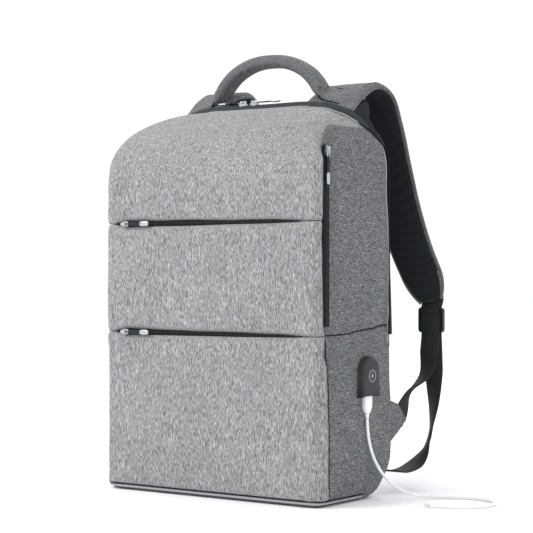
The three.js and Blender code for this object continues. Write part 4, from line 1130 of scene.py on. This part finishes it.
def shoulder_strap(word, side):
    count = 110
    path = smooth_path(strap_route(side), count)
    share = np.linspace(0, 1, count)
    lean = np.clip(1 - share / 0.16, 0, 1)[:, None]
    across_at = unit(np.array([1.0, 0, 0]) + lean * np.array([0, 0, -0.24 * side]))
    wide = strap_width(share)

    def ring(i, n):
        s = i / (n - 1)
        thick = 5.6 * MM * min(1, 0.5 + s * 5) * min(1, 0.5 + (1 - s) * 9)
        return padded_ring(wide[i], thick, 16, 3.4)
    strap = sweep(f"shoulder_strap_{word}_cloth", path, across_at, ring, "melange_dark")
    strap.data.materials.append(LOOKS["air_mesh"])
    _, side_dir, normal = frames_along(path, across_at)
    index, lateral, height = off_path(coordinates(strap), path, side_dir, normal, 32)
    pinned = np.exp(-((wide[index] - lateral) / (4.5 * MM)) ** 2)
    pinned[index < 12] = 1
    inflate(strap, 2.2, 12, 4 * MM, pinned)
    for polygon in strap.data.polygons:
        level = np.mean([height[v] for v in polygon.vertices])
        reach = np.mean([wide[index[v]] - lateral[v] for v in polygon.vertices])
        ring_at = index[polygon.vertices[0]]
        polygon.material_index = 1 if level > 1.0 * MM and reach > 2.0 * MM and ring_at > 6 else 0
    subdivided(strap)

    def swing(piece):
        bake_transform(piece)

    swing(strap)
    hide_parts(f"shoulder_strap_{word}", f"strap_yoke_{word}")

    def beside(keep, out, up):
        """A line at a distance out from the strap's middle and up off it."""
        return path[keep] + side_dir[keep] * out[keep][:, None] + normal[keep] * up

    for edge, mark in ((-1, "a"), (1, "b")):
        line = beside(slice(8, None), edge * (wide + 0.2 * MM), 1.2 * MM)
        swing(tube(f"strap_binding_{word}_{mark}", line, 1.7 * MM, "melange_dark", 10))
        keep = slice(14, -3)
        run = smooth_path(beside(keep, edge * (wide - 5 * MM), -4.5 * MM)[::4], 150)
        directions = unit(np.gradient(run, axis=0))
        ups = np.array([-normal[keep][np.argmin(((path[keep] - p) ** 2).sum(1))] for p in run])
        swing(stitches(f"strap_stitches_{word}_{mark}", run, directions, ups, "melange_dark", DARK_THREAD_AND_SEAM_SHADE,
                       2.4 * MM, 0.4 * MM))
    strap_wedge(word, side)


def strap_wedge(word, side):
    """The wedge of cloth that fills in under the strap's sewn end."""
    points = []
    stations = np.linspace(62, 123, 16)
    for x in stations:
        fall = 0.24 * (x - 93)
        squeeze = 1 - 0.06 * abs(x - 92.5) / 30.5
        for y, z in WEDGE:
            points.append((side * x * MM, y * MM, (430 + (z - 430) * squeeze - fall) * MM))
    n = len(WEDGE)
    faces = quads(len(stations), n)
    faces.append(tuple(range(n)))
    faces.append(tuple(reversed(range((len(stations) - 1) * n, len(stations) * n))))
    wedge = add_mesh(f"strap_yoke_{word}_cloth", points, faces, "melange_dark", LOOKS["air_mesh"])
    outward(wedge)
    bevelled(wedge, 2.5 * MM, 3, 25)
    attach(wedge, "bag")


def ribbon_piece(name, path, across, slot, half_wide=12.5 * MM, half_thick=0.9 * MM):
    return sweep(name, path, across, lambda i, n: flat_ring(half_wide, half_thick), slot)


def blended(t, stops, directions):
    """The direction at each t, turning smoothly from one stop's direction to the next."""
    parts = [np.interp(t, stops, [d[k] for d in directions]) for k in range(3)]
    return unit(np.stack(parts, axis=1))


def lower_webbing(word, side):
    """The webbing from adjuster to anchor tab, its loose tail, and the sleeve that holds the adjuster."""
    adjuster = f"strap_adjuster_{word}"
    x, y, mid_z = middle(adjuster)
    top, high_z = low(adjuster).z - 0.5 * MM, high(adjuster).z
    tab_x = middle(f"anchor_tab_{word}").x
    join = (TAB_HIGH + TAB_LOW) / 2
    body = f"{word}_strap"

    path = smooth_path([
        (x, y - 1 * MM, high_z - 6 * MM), (x, y - 2.6 * MM, mid_z), (x, y - 2 * MM, top),
        (x, y - 5 * MM, top - 20 * MM), ((x + tab_x) / 2 + side * MM, y - 12 * MM, top - 48 * MM),
        (tab_x, join.y + 17 * MM, join.z + 19 * MM), (tab_x, join.y, join.z),
        (tab_x + side * 0.6 * MM, join.y - 9 * MM, join.z - 9 * MM)], 80)
    t = np.linspace(0, 1, 80)
    edge = unit(np.array(TAB_HIGH - TAB_LOW))
    turned = unit(np.array([side * 0.59, -0.81, 0.0]))
    level = np.array([side, 0.0, 0.0])
    across = blended(t, (0.30, 0.66, 0.90), (level, turned, edge))
    band = ribbon_piece(f"strap_webbing_{word}_band", path, across, "webbing")
    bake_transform(band)
    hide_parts(f"strap_webbing_{word}")

    tail_path = smooth_path([
        (x, y + 1.5 * MM, high_z - 8 * MM), (x, y + 2.5 * MM, top), (x + side * MM, y + 4 * MM, top * 0.7),
        (x + side * MM, y + 2 * MM, top * 0.47), (x, y - 8 * MM, top * 0.29),
        (x - 3 * side * MM, y - 31 * MM, 29 * MM), (x - 6 * side * MM, y - 62 * MM, 22 * MM),
        (x - 8 * side * MM, y - 84 * MM, 25 * MM)], 80)
    tail_across = blended(t, (0.28, 0.56, 0.66, 0.80), (level, turned, turned, level))
    tail = ribbon_piece(f"webbing_tail_{word}_band", tail_path, tail_across, "webbing")
    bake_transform(tail)
    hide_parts(f"webbing_tail_{word}")

    # A sleeve of webbing folded through the adjuster's upper bar and sewn to the strap's end
    end = np.array(strap_route(side)[-1])
    sleeve_path = smooth_path([
        end + (0, 3 * MM, 12 * MM), end + (0, 2 * MM, 0), (x, y - 2.9 * MM, high_z + 1 * MM),
        (x, y - 3.2 * MM, high_z - 4 * MM), (x, y, high_z - 8 * MM), (x, y + 3.2 * MM, high_z - 4 * MM),
        (x, y + 3.4 * MM, high_z + 2 * MM), end + (0, 7 * MM, 2 * MM), end + (0, 6 * MM, 12 * MM)], 44)
    sleeve = ribbon_piece(f"adjuster_sleeve_{word}", sleeve_path, (1, 0, 0), "webbing", 12.2 * MM, 0.8 * MM)
    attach(sleeve, body)


def anchor_tab(word, side):
    x = middle(f"anchor_tab_{word}").x
    corners = [(BACK - 8 * MM, 48 * MM), tuple(TAB_LOW.yz), tuple(TAB_HIGH.yz), (BACK - 6 * MM, 112 * MM)]
    points, n = [], 14
    for i in range(n + 1):
        for j in range(n + 1):
            u, v = i / n, j / n
            a = np.array(corners[0]) * (1 - u) + np.array(corners[1]) * u
            b = np.array(corners[3]) * (1 - u) + np.array(corners[2]) * u
            y, z = a * (1 - v) + b * v
            points.append((x + side * 1.2 * MM * math.sin(math.pi * u), y, z))
    faces = [(d, c, b, a) for a, b, c, d in quads(n + 1, n + 1, closed=False)]
    tab = add_mesh(f"anchor_tab_{word}_cloth", points, faces, "melange_dark")
    bevelled(solidified(tab, 2.8 * MM, 0), 0.9 * MM, 2)
    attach(tab, "bag")
    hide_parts(f"anchor_tab_{word}")


def cross_stitch(name, centre, u, v, up, size_u, size_v, material, body):
    """A sewn box with a cross inside it."""
    corners = ((-1, -1), (1, -1), (1, 1), (-1, 1))
    a, b, c, d = (centre + u * s * size_u / 2 + v * t * size_v / 2 for s, t in corners)
    places, directions = [], []
    for start, end in ((a, b), (b, c), (c, d), (d, a), (a, c), (b, d)):
        length = np.linalg.norm(end - start)
        count = max(2, round(length / (2.9 * MM)))
        for k in range(count):
            places.append(start + (end - start) * (k + 0.5) / count)
            directions.append((end - start) / length)
    ups = [up] * len(places)
    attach(stitches(name, places, directions, ups, "melange_dark", material, 2.2 * MM, 0.4 * MM), body)


# Half of the carry handle's middle line, in mm out and above the top, and its apex
GRIP = [(112, 4), (103, 7.5), (93, 10.5), (84, 12.5), (77, 15), (71.5, 20.5), (65, 29.5), (54, 40), (38, 49),
        (20, 54.5)]
GRIP_HALF = 13.4 * MM


def carry_handle():
    """The grip with its two ends turned outwards and sewn down on the sloping ends of the straps."""
    y = middle("carry_handle").y
    right = [(x * MM, y, TOP + z * MM) for x, z in GRIP]
    count = 130
    path = smooth_path([(-x, y, z) for x, y, z in right] + [(0, y, TOP + 56 * MM)] + right[::-1], count)
    end_share = np.abs(np.linspace(-1, 1, count))
    laid = smoothstep(np.clip((end_share - 0.66) / 0.12, 0, 1))
    across_at = unit(np.stack([0 * laid, 1 - 0.15 * laid, 0.66 * laid], axis=1))

    def ring(i, n):
        return padded_ring(GRIP_HALF - 0.6 * MM * laid[i], (8.0 - 5.4 * laid[i]) * MM, 12, 2.6)
    handle = sweep("carry_handle_cloth", path, across_at, ring, "melange_dark")
    _, side_dir, normal = frames_along(path, across_at)
    index, lateral, _ = off_path(coordinates(handle), path, side_dir, normal, 24)
    pinned = np.exp(-((GRIP_HALF - lateral) / (2.5 * MM)) ** 2)
    inflate(handle, 2.5, 10, 3 * MM, np.maximum(pinned, laid[index]))
    subdivided(handle)
    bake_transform(handle)
    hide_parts("carry_handle", "handle_patch_left", "handle_patch_right")
    for word, at in (("left", np.arange(1, 19)), ("right", np.arange(count - 2, count - 20, -1))):
        front, back = (path[at] + side_dir[at] * edge * 13.2 * MM for edge in (-1, 1))
        outline = smooth_path(np.vstack([front[::-3], back[::3]]), 60)
        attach(tube(f"patch_edging_{word}", outline, 1.1 * MM, "melange_dark", 8, DARK_THREAD_AND_SEAM_SHADE), "bag")
        spot = at[8]
        up = normal[spot] if normal[spot][2] > 0 else -normal[spot]
        along = unit(path[at[12]] - path[at[4]])
        cross_stitch(f"handle_stitches_{word}", path[spot] + up * 2.5 * MM, along, side_dir[spot], up,
                     20 * MM, 18 * MM, THREAD_PALE, "bag")


def back_pads():
    for name in ("back_pad_left", "back_pad_right", "lumbar_pad"):
        lo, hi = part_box(name)
        points, faces = box_grid(np.array(lo) + 1.5 * MM, np.array(hi) - 1.5 * MM, 5 * MM)
        corner = 15 * MM
        centre = np.clip(points, np.array(lo) + corner, np.array(hi) - corner)
        centre[:, 1] = points[:, 1]
        away = points - centre
        size = np.maximum(np.abs(away).max(1), 1e-9)
        length = np.maximum(np.linalg.norm(away, axis=1), 1e-9)
        points = centre + away * (size / length)[:, None]
        depth = (points[:, 1] - lo.y) / (hi.y - lo.y)
        x, z = points[:, 0], points[:, 2]
        edge = np.minimum.reduce([x - lo.x, hi.x - x, z - lo.z, hi.z - z])
        round_off = np.clip(1 - edge / (14 * MM), 0, 1) ** 2
        points[:, 1] -= depth * round_off * 7.5 * MM
        pad = add_mesh(name + "_cloth", points, faces, "air_mesh")
        outward(pad)
        inflate(pad, 1.5, 10, 3.5 * MM, (depth < 0.3).astype(float))
        points = coordinates(pad)
        front = np.clip((points[:, 1] - lo.y) / (hi.y - lo.y), 0, 1)
        step = 30 * MM
        phase = (points[:, 2] - lo.z) if name != "lumbar_pad" else (points[:, 0] - lo.x)
        groove = np.exp(-(((phase + step / 2) % step - step / 2) / (2.6 * MM)) ** 2)
        points[:, 1] -= front * groove * 2.6 * MM
        set_coordinates(pad, points)
        subdivided(pad)
        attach(pad, "bag")
        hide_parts(name)


# ---------------------------------------------------------------- socket hood, plug and lead

def hood_outline(inset, count=40):
    """The arch in (y, z), from its lower left corner round the top to its lower right corner."""
    y = (HOOD[0].y + HOOD[1].y) / 2
    half = (HOOD[1].y - HOOD[0].y) / 2
    z0, z1 = HOOD[0].z, HOOD[1].z
    arch = z1 - half
    a = np.linspace(math.pi, 0, count)
    foot, foot_z = half + 1.2 * MM - inset, [z0 + inset * 0.4]
    ys = np.concatenate([[y - foot], y + (half - inset) * np.cos(a), [y + foot]])
    zs = np.concatenate([foot_z, arch + (half - inset) * np.sin(a), foot_z])
    return ys, zs


def socket_hood():
    """A hollow rubber shell that spreads at its foot, with a ring and bolt on its face."""
    face = HOOD[1].x
    levels = [(HALF, -1.5 * MM), (HALF + 2.2 * MM, -1.6 * MM), (HALF + 3.4 * MM, 0.1 * MM),
              (face - 3.2 * MM, 0.6 * MM), (face - 1.2 * MM, 1.4 * MM), (face - 0.3 * MM, 2.8 * MM),
              (face, 4.6 * MM)]
    points = []
    for x, inset in levels:
        ys, zs = hood_outline(inset)
        points += [(x, yy, zz) for yy, zz in zip(ys, zs)]
    n = len(ys)
    faces = [(d, c, b, a) for a, b, c, d in quads(len(levels), n, closed=False)]
    last = (len(levels) - 1) * n
    faces.append(tuple(last + k for k in range(n)))
    hood = add_mesh("usb_port_hood_shell", points, faces, "rubber")
    outward(hood)
    solidified(hood, 2.2 * MM, -1)
    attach(hood, "bag")
    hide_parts("usb_port_hood")

    y = (HOOD[0].y + HOOD[1].y) / 2
    z = HOOD[0].z + 24 * MM
    radius = 6.6 * MM
    ring_path = [(face + 0.15 * MM, y + radius * math.cos(a), z + radius * math.sin(a))
                 for a in np.linspace(0, 2 * math.pi, 49)]
    ring = tube("charge_ring", ring_path, 0.42 * MM, "rubber", 6, MARK_PAINT)
    bolt = [(0.6, 4.2), (-2.4, -0.6), (-0.3, -0.6), (-0.9, -4.2), (2.4, 0.8), (0.2, 0.8)]
    bolt_points = [(face + h, y + a * MM, z + b * MM) for h in (-0.2 * MM, 0.35 * MM) for a, b in bolt]
    m = len(bolt)
    bolt_faces = [tuple(range(m)), tuple(range(2 * m - 1, m - 1, -1))]
    bolt_faces += [(k, (k + 1) % m, m + (k + 1) % m, m + k) for k in range(m)]
    mark = add_mesh("charge_bolt", bolt_points, bolt_faces, "rubber", MARK_PAINT, smooth=False)
    outward(mark)
    ride_all("bag", ring, mark)


# The lead's route from the plug down to the floor and round to its connector, in mm
LEAD_ROUTE = [
    (157.3, 16, 92.4), (157.8, 16.6, 79), (159.5, 18.5, 62), (163, 22.5, 46), (168.5, 29, 31),
    (176, 38, 18.5), (185, 49, 9.5), (196, 61, 4.2), (209, 72.5, 2.3), (224, 82, 1.95),
    (240, 88, 1.95), (256, 89.5, 1.95), (271, 86, 1.95), (284, 78, 1.95), (292, 66, 1.95),
    (294, 52, 1.95), (290, 38.5, 1.95), (281, 27, 1.95), (269, 19, 1.95), (255, 15, 1.95)]
LEAD_DIAMETER = 3.5 * MM


def lead():
    """The charging plug, its lead and the connector on its far end."""
    path = smooth_path(np.array(LEAD_ROUTE) * MM, 170)
    cable = tube("lead", path, LEAD_DIAMETER / 2, "white", 14)
    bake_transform(cable)
    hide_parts("lead_cable")

    end = path[-1]
    heading = unit((path[-1] - path[-4]) * (1, 1, 0))
    across = np.cross(heading, (0, 0, 1))
    lift = np.array([0, 0, 2.75 * MM - end[2]])

    def shell_ring(i, n):
        s = i / (n - 1)
        swell = 1 - 0.35 * abs(2 * s - 1) ** 6
        return padded_ring(3.9 * MM * swell, 2.7 * MM * swell, 10, 3.4)
    def straight(distances, count):
        return smooth_path([end + heading * d * MM for d in distances], count)

    body = sweep("lead_connector_grip", straight((0.4, 5, 10, 14), 22) + lift, across, shell_ring, "white")
    tip = sweep("lead_connector_tip", straight((13, 17, 20.6), 10) + lift, across,
                lambda i, n: padded_ring(3.2 * MM, 0.85 * MM, 8, 4), "steel")

    def relief_ring(i, n):
        return padded_ring((1.9 + 0.9 * i / n) * MM, (1.85 + 0.6 * i / n) * MM, 8, 2)
    relief = sweep("lead_connector_relief", straight((-5, -2, 1), 8) + lift * 0.5, across, relief_ring, "white")
    ride_all("bag", body, tip, relief)
    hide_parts("lead_connector")

    lo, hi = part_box("charging_plug")
    x, y = (lo.x + hi.x) / 2, (lo.y + hi.y) / 2
    depths = np.linspace(0.2, 25.4, 34)
    widths = np.interp(depths, (0.2, 1.2, 8, 19, 24, 25.4), (0.86, 0.98, 1.0, 0.94, 0.62, 0.42))
    plug_path = np.array([(x, y, hi.z - d * MM) for d in depths])

    def plug_ring(i, n):
        return padded_ring(7.7 * MM * widths[i], 3.75 * MM * (0.5 + 0.5 * widths[i]), 14, 3.6)
    plug = sweep("charging_plug_grip", plug_path, (0, 1, 0), plug_ring, "white")
    collar = np.array([(x, y, z) for z in np.linspace(hi.z - 24.5 * MM, lo.z + 0.2 * MM, 12)])

    def collar_ring(i, n):
        return padded_ring((3.1 - 1.1 * i / n) * MM, (2.9 - 0.95 * i / n) * MM, 8, 2)
    relief_top = sweep("charging_plug_relief", collar, (0, 1, 0), collar_ring, "white")
    ride_all("plug", plug, relief_top)
    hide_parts("charging_plug")


# ---------------------------------------------------------------- CAD nodes that stay

def finish_cad_nodes():
    slots = {row["node"]: row["material_slot"] for row in frame["record"]["subparts"]}
    for name, node in frame["nodes"].items():
        node.data.materials.clear()
        node.data.materials.append(LOOKS[slots[name]])
        if name.endswith("_slider") or name.startswith("strap_adjuster"):
            bevelled(node, 0.45 * MM)


add_camera()
add_studio()
finish_cad_nodes()
lead()
add_bag()
for zip_name, zip_z in (("lower_pocket_zip", LOWER_ZIP), ("upper_pocket_zip", UPPER_ZIP)):
    pocket_zip(zip_name, zip_z)
side_zip()
main_zip()
seam_details()
for pull_name, pull_along, pull_out in PULLS:
    zip_pull(pull_name, np.array(pull_along, float), np.array(pull_out, float))
carry_handle()
for strap_word, strap_side in (("left", -1), ("right", 1)):
    shoulder_strap(strap_word, strap_side)
    lower_webbing(strap_word, strap_side)
    anchor_tab(strap_word, strap_side)
back_pads()
socket_hood()
